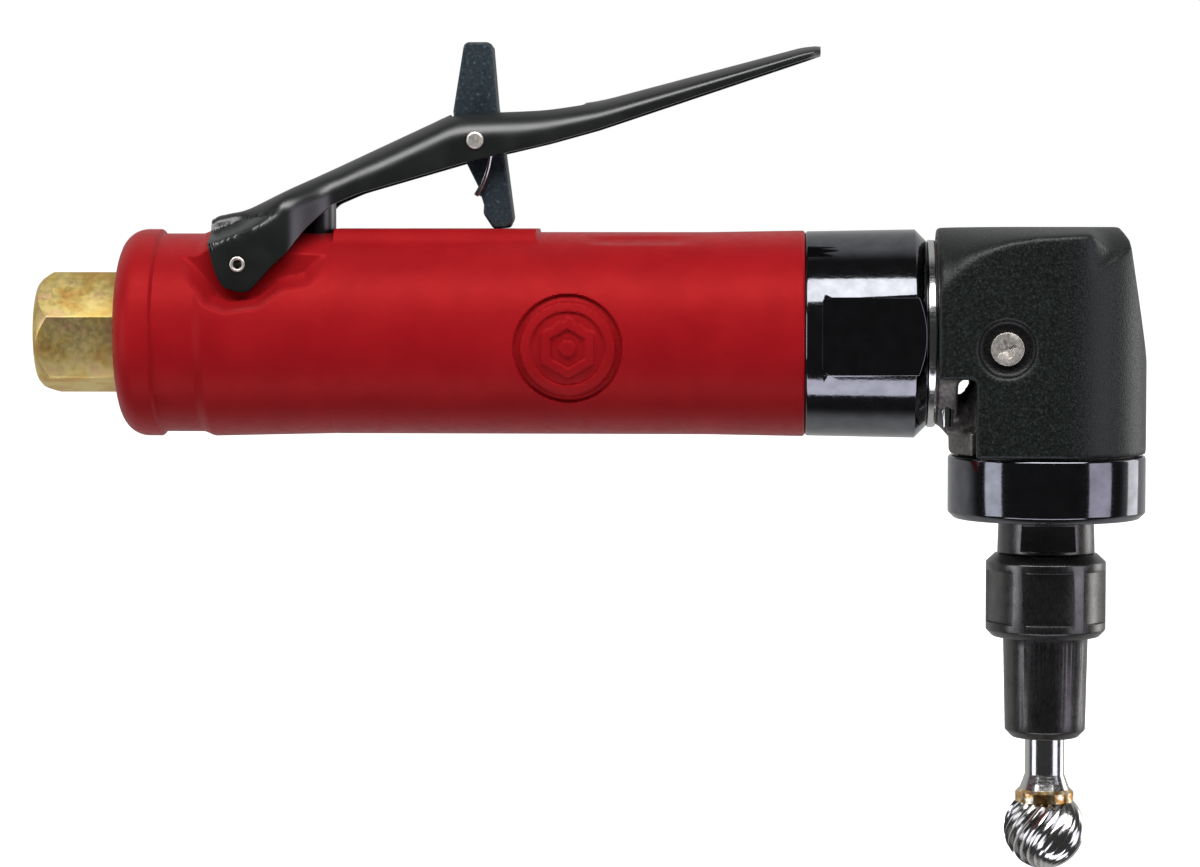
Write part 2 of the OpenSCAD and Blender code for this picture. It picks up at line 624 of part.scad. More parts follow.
module spindle_seal() color("dimgray") about_z([[spindle_r + free_gap, cap_z0 + cap_floor + fit_gap],
  [lower_bearing_r - fit_gap, cap_z0 + cap_floor + fit_gap],
  [lower_bearing_r - fit_gap, lower_bearing_z - fit_gap],
  [lower_bearing_r - 2, lower_bearing_z - fit_gap], [lower_bearing_r - 2, lower_bearing_z - 0.6],
  [spindle_r + free_gap, lower_bearing_z - 0.6]]);

module pinion_bush() color("goldenrod") difference() {
  rod_x(neck_bush_r - fit_gap, neck_x0, neck_x0 + neck_bush_len - fit_gap);
  rod_x(pinion_shaft_r + run_gap, neck_x0 - past, neck_x0 + neck_bush_len);
}

// The lever's side outline from its hinge: along the top, then back along its lower edge
lever_top = [[-4.4, 7.2], [-3.4, 8], [-0.1, 8.2], [5.4, 10.7], [14.1, 15.1], [31.4, 23.1], [34, 24.4],
  [48.7, 24.9], [57.4, 26.1], [lever_reach - 2.2, 34.8]];
lever_under = [[lever_reach - 0.8, 33.1], [56.7, 21.4], [48.7, 19.2], [35.8, 16.2], [18.5, 11.2], [14.3, 9.4],
  [10.5, 5.6], [7.7, 1.7], [5.6, -0.1], [3.3, -2.7], [1.7, -4.4], [-0.1, -4.4], [-2.4, -3.6], [-3.6, -1.4],
  [-4.9, 3.8]];
lever_side = concat(lever_top, [[lever_reach - 0.6, 34.8], [lever_reach, 34]], lever_under);
lever_hollow = concat([[-10, lever_top[1].y - lever_sheet]],
  [for (i = [1:len(lever_top) - 1]) lever_top[i] + [0.3, -lever_sheet]],
  [[lever_reach - lever_sheet, 34 - lever_sheet], [lever_reach - lever_sheet, -10], [-10, -10]]);
cheek_half = cheek_y + free_gap + lever_sheet;
lever_plan = [[-10, cheek_half], [10, cheek_half], [14.5, lever_w / 2], [lever_reach - 2, lever_w / 2],
  [lever_reach, lever_w / 2 - 2]];
lever_plan_hollow = [[-11, cheek_half - lever_sheet], [9.6, cheek_half - lever_sheet],
  [14.1, lever_w / 2 - lever_sheet], [lever_reach, lever_w / 2 - lever_sheet]];

// A plan outline given for one half, drawn about the X axis
module plan_plate(half_outline) linear_extrude(4 * sleeve_r)
  polygon(concat(half_outline,
    [for (i = [len(half_outline) - 1:-1:0]) [half_outline[i].x, -half_outline[i].y]]));

module throttle_lever() color("#202022") translate([pin_x, 0, pin_z]) difference() {
  intersection() {
    side_plate(lever_side, -cheek_half, cheek_half);
    translate([0, 0, -sleeve_r]) plan_plate(lever_plan);
  }
  intersection() {
    side_plate(lever_hollow, -cheek_half, cheek_half);
    translate([0, 0, -sleeve_r]) plan_plate(lever_plan_hollow);
  }
  rod_y(pin_r + run_gap, sleeve_r);
  translate([lock_back, 0, lock_rise]) rod_y(lock_pin_r, sleeve_r);
  block([lock_back - 4.4, -lock_t / 2 - free_gap, lock_rise], [lock_back + 17.4, lock_t / 2 + free_gap, 40]);
}

module lock_pin() color("silver") translate([lock_x, 0, lock_z]) rod_y(lock_pin_r - 0.02, lever_w / 2 + 0.4);

// The lock lever's outline from its pin: the arm above, the foot below
lock_outline = [[-1.6, 15.7], [1.9, 15.7], [2.5, 14.8], [3.3, 5.3], [4.5, -2.5], [5.8, -12.5], [5.1, -14],
  [2.6, -14.1], [1, -11.7], [1.1, -10.3], [0.2, -7.4], [-1.6, -3.8], [-3.4, 0], [-3.8, 4.7], [-2.1, 15.2]];
module lock_lever() color("slategray") translate([lock_x, 0, lock_z]) difference() {
  side_plate(lock_outline, -lock_t / 2, lock_t / 2);
  rod_y(lock_pin_r + run_gap, sleeve_r);
}

lock_wire_r = 0.4;
module lock_spring() color("silver") translate([lock_x, 0, lock_z]) for (side = [-1, 1])
  translate([0, side * (lock_t / 2 + 0.25 + lock_wire_r), 0]) rotate([side > 0 ? -90 : 90, 0, 0]) union() {
    coil(lock_pin_r + 0.75, lock_wire_r, 1.2, 1);
  }

module throttle_plunger() color("#202022") translate([valve_x, 0, 0]) union() {
  stem_r = seat_hole_r - 0.9;
  rotate_extrude() polygon(concat([[0, ball_z + ball_r], [stem_r, ball_z + ball_r], [stem_r, plunger_step_z],
    [plunger_r - 0.4, plunger_step_z], [plunger_r, plunger_step_z + 0.4]],
    arc([plunger_r - 1.2, plunger_top - 1.2], 1.2, 0, 90), [[0, plunger_top]]));
}

module throttle_ball() color("silver") translate([valve_x, 0, ball_z]) sphere(r = ball_r);

vane_depth = 5;
module vane_slots(width, inner_r, outer_r, x0, x1) for (i = [0:vane_count - 1])
  rotate([360 * i / vane_count, 0, 0]) block([x0, -width / 2, inner_r], [x1, width / 2, outer_r]);

module rotor() color("gray") difference() {
  union() {
    about_x([[0, rear_bearing_x], [rotor_rear_r, rear_bearing_x], 
      [rotor_rear_r, cylinder_x0 + 0.2], [rotor_r, cylinder_x0 + 0.2],
      [rotor_r, cylinder_x1 - 0.2], [rotor_front_r, cylinder_x1 - 0.2], [rotor_front_r, drive_x0],
      [0, drive_x0]]);
    translate([cylinder_x1, 0, 0]) rotate([0, 90, 0])
      cylinder(r = drive_hex_r, h = drive_x1 - cylinder_x1 - 0.5, $fn = 6);
  }
  vane_slots(vane_t + 0.1, rotor_r - vane_depth, rotor_r + past, cylinder_x0, cylinder_x1);
}

module rotor_vanes() color("sienna") intersection() {
  vane_slots(vane_t, rotor_r - vane_depth + 0.1, rotor_r + past, cylinder_x0 + 0.25, cylinder_x1 - 0.25);
  rod_x(rotor_r, cylinder_x0, cylinder_x1);
}

// A bevel gear with its apex at the origin and its back towards -Z; a tooth lies along +X
module bevel(teeth, pitch_angle, blank) difference() {
  rotate_extrude() polygon(blank);
  reach = 1.15;
  gap_half = PI * tooth_module / 4 + backlash / 2;
  slope = tan(20);
  for (i = [0:teeth - 1]) rotate([0, -pitch_angle, 360 * (i + 0.5) / teeth])
    translate([0, 0, -cone_len * reach]) linear_extrude(cone_len * reach, scale = 0)
      polygon(reach * [[-dedendum, -gap_half + slope * dedendum],
        [3 * addendum, -gap_half - slope * 3 * addendum],
        [3 * addendum, gap_half + slope * 3 * addendum], [-dedendum, gap_half - slope * dedendum]]);
}

// A point at [distance along the pitch cone, height over it], as [radius, z]
function on_cone(pitch_angle, along, height) =
  [along * sin(pitch_angle) + height * cos(pitch_angle), -along * cos(pitch_angle) + height * sin(pitch_angle)];

function bevel_blank(pitch_angle, back, hub) =
  let (inner = (cone_len - face_len) / cone_len,
    tip = on_cone(pitch_angle, cone_len, addendum), root = on_cone(pitch_angle, cone_len, -dedendum))
  concat([[0, inner * root.y], inner * root, inner * tip, tip, root], [[root.x, root.y - back]], hub);

module bevel_pinion() color("gray") translate([spindle_x, 0, 0]) rotate([0, 90, 0]) difference() {
  bearing_face = pinion_bearing_x + pinion_bearing_len - spindle_x + fit_gap;
  socket = drive_x1 - spindle_x;
  end = drive_x0 - spindle_x + 0.2;
  bevel(pinion_teeth, pinion_angle, bevel_blank(pinion_angle, 0.4, [[pinion_shaft_r + 0.5, bearing_face + 1],
    [pinion_shaft_r + 1.2, bearing_face + 1], [pinion_shaft_r + 1.2, bearing_face],
    [pinion_shaft_r, bearing_face],
    [pinion_shaft_r, end + 6], [pinion_shaft_r + 0.8, end + 5.5], [pinion_shaft_r + 0.8, end], [0, end]]));
  translate([0, 0, end - past]) cylinder(r = drive_hex_r + fit_gap, h = socket - end + past, $fn = 6);
}

key_half = 1;
key_x = spindle_x + spindle_top_r;
key_z0 = -9.6;
key_z1 = -6;
module gear_key() color("silver") block([key_x - 1, -key_half, key_z0], [key_x + 1, key_half, key_z1]);
module keyway() block([key_x - 1 - fit_gap, -key_half - fit_gap, key_z0 - past],
  [key_x + 1 + fit_gap, key_half + fit_gap, key_z1 + fit_gap]);
gear_back = -10;

module bevel_gear() color("gray") difference() {
  translate([spindle_x, 0, 0]) rotate([0, 0, 180 / gear_teeth]) bevel(gear_teeth, 90 - pinion_angle,
    bevel_blank(90 - pinion_angle, 1,
      [[shoulder_r + 0.5, gear_back + 0.6], [shoulder_r + 0.5, gear_back], [0, gear_back]]));
  translate([spindle_x, 0, gear_back - past]) cylinder(r = spindle_top_r + fit_gap, h = -gear_back + past);
  keyway();
}

snap_z = -3.9;
module gear_snap_ring() color("silver") translate([spindle_x, 0, snap_z]) difference() {
  cylinder(r = spindle_top_r + 1, h = 0.8);
  translate([0, 0, -past]) cylinder(r = spindle_top_r - 0.4 + fit_gap, h = 3);
  translate([0, -1, -past]) cube([2 * spindle_top_r, 2, 3]);
}

module spindle() color("silver") difference() {
  about_z([[0, nose_z0 - stub_len], [stub_r - 0.5, nose_z0 - stub_len], [stub_r, nose_z0 - stub_len + 0.6],
    [stub_r, nose_z0], [nose_r, nose_z0], [nose_r - 0.2, cap_z0 + 1],
    [nose_r - 0.2, cap_z0 + cap_floor - free_gap],
    [spindle_r, cap_z0 + cap_floor - free_gap], [spindle_r, lower_bearing_z + lower_bearing_len + fit_gap],
    [shoulder_r, lower_bearing_z + lower_bearing_len + fit_gap], [shoulder_r, gear_back - fit_gap],
    [spindle_top_r, gear_back - fit_gap], [spindle_top_r, snap_z - fit_gap],
    [spindle_top_r - 0.4, snap_z - fit_gap],
    [spindle_top_r - 0.4, snap_z + 0.83], [spindle_top_r, snap_z + 0.83],
    [spindle_top_r, upper_bearing_z + upper_bearing_len], [0, upper_bearing_z + upper_bearing_len]]);
  translate([spindle_x, 0, nose_z0 - stub_len - past]) cylinder(r = stub_bore_r, h = stub_len + past + 1.5);
  keyway();
  for (side = [-1, 1]) block([spindle_x - nose_r, side > 0 ? nose_r - 1.4 : -2 * nose_r, nose_z0 + 0.6],
    [spindle_x + nose_r, side > 0 ? 2 * nose_r : 1.4 - nose_r, cap_z0 - 0.8]);
}

module collet() color("silver") difference() {
  about_z([[0, collet_z0], [collet_tip_r, collet_z0], [collet_r, collet_z0 + 1.6],
    [collet_r, nose_z0 - stub_len - 0.3], [stub_bore_r - fit_gap, nose_z0 - stub_len - 0.3],
    [stub_bore_r - fit_gap, collet_z1], [0, collet_z1]]);
  translate([spindle_x, 0, collet_z0 - past])
    cylinder(r = shank_r + fit_gap, h = collet_z1 - collet_z0 + 2 * past);
  for (turn = [0, 90]) translate([spindle_x, 0, 0]) rotate([0, 0, 45 + turn])
    block([-nut_nose_r, -0.3, collet_z0 - past], [nut_nose_r, 0.3, collet_z1 - 4]);
}

module collet_nut() color("#2a2a2c") difference() {
  about_z([[shank_r + 0.5, nut_tip_z], [nut_nose_r - 1.5, nut_tip_z], [nut_nose_r - 0.35, nut_tip_z + 1.2],
    [nut_nose_r, nut_z0], [nut_af / 2 - 0.2, nut_z0], [nut_corner_r, nut_z0 + 1.1],
    [nut_corner_r, nut_z1 - 1.3], [nut_corner_r - 1.4, nut_z1], [stub_r + fit_gap, nut_z1],
    [stub_r + fit_gap, nose_z0 - stub_len - 0.3], [collet_r + fit_gap, nose_z0 - stub_len - 0.3],
    [collet_r + fit_gap, collet_z0 + 1.6], [collet_tip_r + fit_gap, collet_z0 - fit_gap],
    [shank_r + 0.5, collet_z0 - fit_gap]]);
  flat_z1 = nut_z1 - 2.6;
  flat_z0 = nut_z0 + 2.4;
  for (i = [0:5]) translate([spindle_x, 0, 0]) rotate([0, 0, 60 * i - 90])
    block([nut_af / 2, -nut_af, flat_z0], [nut_af, nut_af, flat_z1]);
}

module burr_shank() color("silver") about_z([
  [0, shank_z0], [shank_r + 0.9, shank_z0], [shank_r + 0.5, shank_z0 + 1],
  [shank_r, shank_z0 + 2.4], [shank_r, collet_z1 - 1], [0, collet_z1 - 1]]);

module burr_braze_ring() color("gold") about_z([[0, shank_z0 - braze_h], [braze_r, shank_z0 - braze_h],
  [braze_r, shank_z0 - 0.5], [braze_r - 0.5, shank_z0], [0, shank_z0]]);

module burr_head() color("gray") intersection() {
  translate([spindle_x, 0, burr_z]) sphere(r = burr_r);
  translate([spindle_x, 0, burr_z - 2 * burr_r])
    cylinder(r = 2 * burr_r, h = shank_z0 - braze_h - burr_z + 2 * burr_r);
}

housing_sleeve();
motor_case();
inlet_bushing();
inlet_screen();
inlet_o_ring();
exhaust_muffler();
lever_pin();
plunger_bush();
plunger_o_ring();
valve_seat();
valve_spring();
rear_end_plate();
motor_cylinder();
front_end_plate();
end_plate_dowels();
motor_spacer();
clamp_ring();
head_collar();
angle_housing();
head_cover();
cover_screws();
neck_screws();
bearing_cap();
spindle_seal();
pinion_bush();
color("silver") rotor_rear_bearing("outer");  // rotor_rear_outer_race
color("silver") rotor_front_bearing("outer");  // rotor_front_outer_race
color("silver") pinion_bearing("outer");  // pinion_outer_race
color("silver") spindle_upper_bearing("outer");  // spindle_upper_outer_race
color("silver") spindle_lower_bearing("outer");  // spindle_lower_outer_race
throttle_lever();
lock_pin();
lock_lever();
lock_spring();
throttle_plunger();
throttle_ball();
rotor();
rotor_vanes();
bevel_pinion();
color("silver") rotor_rear_bearing("inner");  // rotor_rear_inner_race
color("silver") rotor_rear_bearing("balls");  // rotor_rear_balls
color("silver") rotor_front_bearing("inner");  // rotor_front_inner_race
color("silver") rotor_front_bearing("balls");  // rotor_front_balls
color("silver") pinion_bearing("inner");  // pinion_inner_race
color("silver") pinion_bearing("balls");  // pinion_balls
spindle();
bevel_gear();
gear_key();
gear_snap_ring();
color("silver") spindle_upper_bearing("inner");  // spindle_upper_inner_race
color("silver") spindle_upper_bearing("balls");  // spindle_upper_balls
color("silver") spindle_lower_bearing("inner");  // spindle_lower_inner_race
color("silver") spindle_lower_bearing("balls");  // spindle_lower_balls
collet();
collet_nut();
burr_shank();
burr_braze_ring();
burr_head();
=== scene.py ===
# %% [markdown]
# # A right-angle air die grinder, dressed for the camera
#
# The tool is a red moulded sleeve over a steel motor case, with a plated air inlet at the rear, a sheet steel
# throttle lever on top and a black angle head that holds a ball burr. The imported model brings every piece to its
# right place and size. This lesson gives the pieces their finishes, and remakes those whose soft edges, relief or
# flutes are more than the plain solids show.

# %% Load the frame
import json
import math

import bmesh
import bpy
import numpy as np
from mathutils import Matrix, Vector


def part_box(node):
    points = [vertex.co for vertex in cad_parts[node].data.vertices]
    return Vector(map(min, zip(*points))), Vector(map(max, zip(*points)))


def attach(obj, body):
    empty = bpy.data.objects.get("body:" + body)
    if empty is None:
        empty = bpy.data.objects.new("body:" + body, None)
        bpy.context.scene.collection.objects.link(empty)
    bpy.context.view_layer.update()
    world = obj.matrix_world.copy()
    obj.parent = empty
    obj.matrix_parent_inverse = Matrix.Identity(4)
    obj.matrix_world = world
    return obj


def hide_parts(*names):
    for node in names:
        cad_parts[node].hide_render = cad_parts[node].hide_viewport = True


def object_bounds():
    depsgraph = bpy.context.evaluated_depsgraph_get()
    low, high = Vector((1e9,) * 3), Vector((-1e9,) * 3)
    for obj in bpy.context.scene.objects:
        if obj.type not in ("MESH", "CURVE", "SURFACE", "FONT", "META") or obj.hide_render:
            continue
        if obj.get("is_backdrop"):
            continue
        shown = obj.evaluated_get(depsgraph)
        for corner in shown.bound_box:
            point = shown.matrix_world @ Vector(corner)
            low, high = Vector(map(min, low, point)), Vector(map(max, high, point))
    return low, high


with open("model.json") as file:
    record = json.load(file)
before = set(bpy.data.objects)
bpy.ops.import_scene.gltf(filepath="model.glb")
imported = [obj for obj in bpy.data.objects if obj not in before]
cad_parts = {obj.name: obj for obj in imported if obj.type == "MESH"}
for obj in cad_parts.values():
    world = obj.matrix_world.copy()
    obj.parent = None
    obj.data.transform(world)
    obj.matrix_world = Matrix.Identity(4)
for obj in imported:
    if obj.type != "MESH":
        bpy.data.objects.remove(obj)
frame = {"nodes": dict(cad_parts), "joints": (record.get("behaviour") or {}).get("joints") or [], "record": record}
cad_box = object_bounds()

MM = 0.001

# %% [markdown]
# ## Small helpers
#
# Colours are written as a painter's hex codes and turned to linear light once. One function adds any shader or
# geometry node with its settings and its links. Two more turn lists of corners into objects: every finished piece
# keeps its object at the origin, so that patterns in object coordinates stay where they belong.


# %% Colours and nodes
def linear(code):
    """The linear RGBA of an sRGB hex code."""
    parts = [int(code[i:i + 2], 16) / 255 for i in (1, 3, 5)]
    return (*[c / 12.92 if c <= 0.04045 else ((c + 0.055) / 1.055) ** 2.4 for c in parts], 1.0)


def add(tree, kind, inputs=None, **settings):
    """A node in the tree. An input is given a value, or the socket that feeds it."""
    made = tree.nodes.new(kind)
    for name, value in settings.items():
        setattr(made, name, value)
    for key, value in (inputs or {}).items():
        if isinstance(value, bpy.types.NodeSocket):
            tree.links.new(value, made.inputs[key])
        else:
            made.inputs[key].default_value = value
    return made


def part(name, vertices, faces, smooth=True):
    """A mesh object at the origin, with corners in metres and its faces turned outwards."""
    mesh = bpy.data.meshes.new(name)
    mesh.from_pydata([tuple(v) for v in vertices], [], faces)
    shape = bmesh.new()
    shape.from_mesh(mesh)
    bmesh.ops.remove_doubles(shape, verts=shape.verts, dist=1e-7)
    bmesh.ops.recalc_face_normals(shape, faces=shape.faces)
    shape.to_mesh(mesh)
    shape.free()
    mesh.polygons.foreach_set("use_smooth", [smooth] * len(mesh.polygons))
    made = bpy.data.objects.new(name, mesh)
    bpy.context.scene.collection.objects.link(made)
    return made


def settle(piece):
    """Applies the piece's modifiers, so that it is a plain mesh."""
    bpy.context.view_layer.update()
    result = bpy.data.meshes.new_from_object(piece.evaluated_get(bpy.context.evaluated_depsgraph_get()))
    piece.modifiers.clear()
    piece.data = result
    return piece


def modify(piece, kind, **settings):
    """A modifier on the piece, with its settings."""
    modifier = piece.modifiers.new(kind.title(), kind)
    for name, value in settings.items():
        setattr(modifier, name, value)
    return modifier


# %% [markdown]
# ## The camera
#
# The tool is seen square from its side, through a long lens, from a little above and to the right of its middle.
# The camera is turned towards the middle of the tool rather than shifted, so other views stay centred.

# %% Set the camera
VIEW_WIDTH = 193.5 * MM
EYE = Vector((123.0, -635.0, 21.5)) * MM
AIM = Vector((90.6, 0.0, -16.2)) * MM

lens = bpy.data.cameras.new("long_lens")
lens.sensor_width = 36.0
lens.lens = lens.sensor_width * (EYE - AIM).length / VIEW_WIDTH
lens.clip_start, lens.clip_end = 0.01, 50.0
camera = bpy.data.objects.new("camera", lens)
camera.location = EYE
camera.rotation_euler = (AIM - EYE).to_track_quat("-Z", "Y").to_euler()
bpy.context.scene.collection.objects.link(camera)
bpy.context.scene.camera = camera
print("lens:", round(lens.lens, 1), "mm")

# %% [markdown]
# ## Floor and light
#
# Glossy black steel is drawn by what it mirrors. A long softbox above the front gives the broad white band along
# the top of round parts, a dimmer one below the front gives the lavender-grey band under it, and two upright ones
# give the bands down the spindle's parts. The room is dark in front and grey behind, and only the camera sees it
# white. The floor is left out of mirrored and scattered rays and casts no shade, so that only the lower light reaches
# the tool from below.

# %% Make the floor and the room
scene = bpy.context.scene
scene.view_settings.view_transform = "Standard"
FLOOR_HALF = 8.0
FLOOR_DROP = 0.3 * MM

floor_z = cad_box[0].z - FLOOR_DROP
corners = [(sx * FLOOR_HALF, sy * FLOOR_HALF, floor_z) for sx, sy in ((-1, -1), (1, -1), (1, 1), (-1, 1))]
floor = part("floor", corners, [(0, 1, 2, 3)], smooth=False)
if floor.data.polygons[0].normal.z < 0:
    floor.data.flip_normals()
floor.visible_glossy = False
floor.visible_diffuse = False
floor.visible_shadow = False
paper = bpy.data.materials.new("matt_white_paper")
paper.use_nodes = True
paper_shader = paper.node_tree.nodes["Principled BSDF"]
paper_shader.inputs["Base Color"].default_value = linear("#F2F2F2")
paper_shader.inputs["Roughness"].default_value = 0.9
paper_shader.inputs["Emission Color"].default_value = (1, 1, 1, 1)
paper_shader.inputs["Emission Strength"].default_value = 0.95
floor.data.materials.append(paper)
floor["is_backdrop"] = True

room = bpy.data.worlds.new("studio")
scene.world = room
room.use_nodes = True
room.node_tree.nodes.clear()
seen = add(room.node_tree, "ShaderNodeLightPath")
toward = add(room.node_tree, "ShaderNodeTexCoord")
split = add(room.node_tree, "ShaderNodeSeparateXYZ", {"Vector": toward.outputs["Generated"]})
behind = add(room.node_tree, "ShaderNodeMapRange",
             {"Value": split.outputs["Y"], "From Min": 0.0, "From Max": 0.4, "To Min": 0.04, "To Max": 0.5},
             interpolation_type="SMOOTHSTEP")
lit = add(room.node_tree, "ShaderNodeMix",
          {"Factor": seen.outputs["Is Camera Ray"], 2: behind.outputs["Result"], 3: 1.0}, data_type="FLOAT")
sky = add(room.node_tree, "ShaderNodeBackground", {"Color": (1, 1, 1, 1), "Strength": lit.outputs[0]})
add(room.node_tree, "ShaderNodeOutputWorld", {"Surface": sky.outputs["Background"]})


# %% [markdown]
# Each softbox is placed by its direction from the tool, and its power follows from its area and its glow.


# %% Hang the softboxes
def softbox(name, around, above, distance, width, height, glow, tint="#FFFFFF"):
    """An area light that faces the tool: degrees to the right of the front and above it, sizes in metres."""
    a, e = math.radians(around), math.radians(above)
    centre = (cad_box[0] + cad_box[1]) / 2
    out = Vector((math.sin(a) * math.cos(e), -math.cos(a) * math.cos(e), math.sin(e)))
    light = bpy.data.lights.new(name, "AREA")
    light.shape = "RECTANGLE"
    light.size, light.size_y = width, height
    light.energy = glow * math.pi * width * height
    light.color = linear(tint)[:3]
    lamp = bpy.data.objects.new(name, light)
    lamp.location = centre + out * distance
    lamp.rotation_euler = out.to_track_quat("Z", "Y").to_euler()
    lamp.visible_camera = False
    scene.collection.objects.link(lamp)
    return lamp


softbox("upper_softbox", 0, 52, 0.8, 1.3, 0.38, 6.0)
softbox("lower_softbox", 0, -60, 0.8, 1.2, 0.28, 3.6, "#E0DEEA")
softbox("left_softbox", -66, 0, 0.9, 0.38, 0.60, 2.8, "#E2E4EE")
softbox("right_softbox", 64, 0, 0.9, 0.44, 0.60, 2.2, "#E2DCEC")
softbox("rear_softbox", 115, 5, 0.9, 0.35, 0.60, 2.5)
print("lights:", len(bpy.data.lights))

# %% [markdown]
# ## Finishes
#
# Each finish starts from what the real one is. Metals are fully metallic and keep the usual index of refraction, so
# their colour and roughness carry the look. Coated and moulded pieces are dielectrics. Fine grain is a noise bump
# whose size is given in millimetres; grain finer than a tenth of a millimetre wouldn't show, so it is drawn coarser.


# %% Start a finish
FINISHES = {}


def start(slot_name, name, colour, metallic, roughness, **sockets):
    """A material for one of the record's slots, with its shader and its place on the piece in metres."""
    material = bpy.data.materials.new(name)
    material.use_nodes = True
    shader = material.node_tree.nodes["Principled BSDF"]
    shader.inputs["Base Color"].default_value = linear(colour)
    shader.inputs["Metallic"].default_value = metallic
    shader.inputs["Roughness"].default_value = roughness
    for socket, value in sockets.items():
        shader.inputs[socket.replace("_", " ")].default_value = value
    place = add(material.node_tree, "ShaderNodeTexCoord").outputs["Object"]
    FINISHES[slot_name] = material
    return material.node_tree, shader, place


def grain(tree, place, size_mm, detail=3.0, stretch=None):
    """Noise whose blotches are about size_mm across; stretch turns it into streaks."""
    if stretch:
        place = add(tree, "ShaderNodeMapping", {"Vector": place, "Scale": stretch}).outputs["Vector"]
    noise = add(tree, "ShaderNodeTexNoise", {"Vector": place, "Scale": 1 / (size_mm * MM), "Detail": detail})
    return noise.outputs["Fac"]


def colours(tree, shader, factor, *stops):
    """A ramp of (position, hex colour) stops on the base colour."""
    ramp = add(tree, "ShaderNodeValToRGB", {"Fac": factor})
    while len(ramp.color_ramp.elements) < len(stops):
        ramp.color_ramp.elements.new(0.5)
    for element, (position, code) in zip(ramp.color_ramp.elements, stops):
        element.position, element.color = position, linear(code)
    tree.links.new(ramp.outputs["Color"], shader.inputs["Base Color"])


def vary_roughness(tree, shader, factor, low, high):
    """Roughness between two values, as the factor goes from a third to two thirds."""
    spread = add(tree, "ShaderNodeMapRange",
                 {"Value": factor, "From Min": 0.33, "From Max": 0.67, "To Min": low, "To Max": high})
    tree.links.new(spread.outputs["Result"], shader.inputs["Roughness"])


def relief(tree, shader, factor, depth_mm, strength=1.0):
    """A bump of depth_mm from the factor."""
    bump = add(tree, "ShaderNodeBump", {"Height": factor, "Distance": depth_mm * MM, "Strength": strength})
    tree.links.new(bump.outputs["Normal"], shader.inputs["Normal"])


# %% [markdown]
# The sleeve is glass-filled nylon from a spark-eroded mould: an even, satin red with a faint cloudiness. The seal and
# felt are soft and dull, and the vanes are a laminated phenolic whose cloth layers show as fine brown stripes.

# %% Moulded, rubber and fibre finishes
tree, shader, place = start("red_moulding", "glass_filled_nylon", "#9E151A", 0.0, 0.4, Specular_IOR_Level=0.5,
                            Specular_Tint=linear("#FF4A46"))
colours(tree, shader, grain(tree, place, 7.0), (0.3, "#96141A"), (0.7, "#A2191E"))
vary_roughness(tree, shader, grain(tree, place, 1.6), 0.38, 0.46)
relief(tree, shader, grain(tree, place, 0.35), 0.006)

tree, shader, place = start("seal_rubber", "nitrile_rubber", "#161616", 0.0, 0.7)
relief(tree, shader, grain(tree, place, 0.3), 0.01)

tree, shader, place = start("felt", "pressed_wool_felt", "#8C8A85", 0.0, 0.95, Sheen_Weight=0.4)
colours(tree, shader, grain(tree, place, 0.5, 6.0), (0.35, "#6F6D69"), (0.65, "#A3A19B"))
relief(tree, shader, grain(tree, place, 0.25, 6.0), 0.06)

tree, shader, place = start("phenolic", "canvas_phenolic", "#7A4A26", 0.0, 0.5)
layers = add(tree, "ShaderNodeTexWave", {"Vector": place, "Scale": 1 / (1.4 * MM), "Distortion": 1.5, "Detail": 2.0},
             bands_direction="Z").outputs["Fac"]
colours(tree, shader, layers, (0.2, "#5E3519"), (0.8, "#8A5A30"))

# %% [markdown]
# Machined steel keeps fine turning marks: streaks that run round the axis. Ground steel is brighter and finer. Brass
# and the braze metal are warm alloys; the braze has crept and cooled, so its tint is uneven.

# %% Bare metals
tree, shader, place = start("case_steel", "machined_steel", "#8E8D8A", 1.0, 0.34)
marks = grain(tree, place, 0.3, 2.0, stretch=(1.0, 0.12, 0.12))
colours(tree, shader, grain(tree, place, 4.0), (0.3, "#85837F"), (0.7, "#999793"))
vary_roughness(tree, shader, marks, 0.28, 0.42)
relief(tree, shader, marks, 0.008)

tree, shader, place = start("bright_steel", "ground_steel", "#CFCFCE", 1.0, 0.16)
marks = grain(tree, place, 0.2, 2.0, stretch=(0.2, 0.2, 1.0))
vary_roughness(tree, shader, marks, 0.10, 0.22)
relief(tree, shader, marks, 0.002)

tree, shader, place = start("brass_bush", "turned_brass", "#C9A45A", 1.0, 0.28)
vary_roughness(tree, shader, grain(tree, place, 0.3, 2.0, stretch=(0.2, 0.2, 1.0)), 0.22, 0.34)

tree, shader, place = start("braze_gold", "silver_braze", "#D8A24A", 1.0, 0.25)
colours(tree, shader, grain(tree, place, 1.1, 4.0), (0.36, "#B98544"), (0.5, "#DDB674"), (0.62, "#F4EBD6"))
relief(tree, shader, grain(tree, place, 0.8), 0.06)

tree, shader, place = start("carbide", "ground_carbide", "#D6D5D3", 1.0, 0.14)
vary_roughness(tree, shader, grain(tree, place, 0.15, 2.0, stretch=(1.0, 1.0, 0.3)), 0.08, 0.2)
relief(tree, shader, grain(tree, place, 0.12, 2.0), 0.003)

# %% [markdown]
# The inlet is steel with a yellow chromate over zinc. The film is thin enough to shift in hue, so pale straw, bronze
# and faint pink lie beside each other in soft clouds.

# %% Yellow zinc plating
tree, shader, place = start("yellow_zinc", "yellow_chromate_on_zinc", "#E6C676", 1.0, 0.42)
clouds = grain(tree, place, 6.0, 3.0, stretch=(1.0, 1.6, 1.6))
colours(tree, shader, clouds, (0.28, "#DCA55E"), (0.44, "#E6C472"), (0.56, "#F0DA8C"), (0.74, "#EEC094"))
vary_roughness(tree, shader, grain(tree, place, 0.9), 0.38, 0.48)
relief(tree, shader, grain(tree, place, 0.25), 0.004)

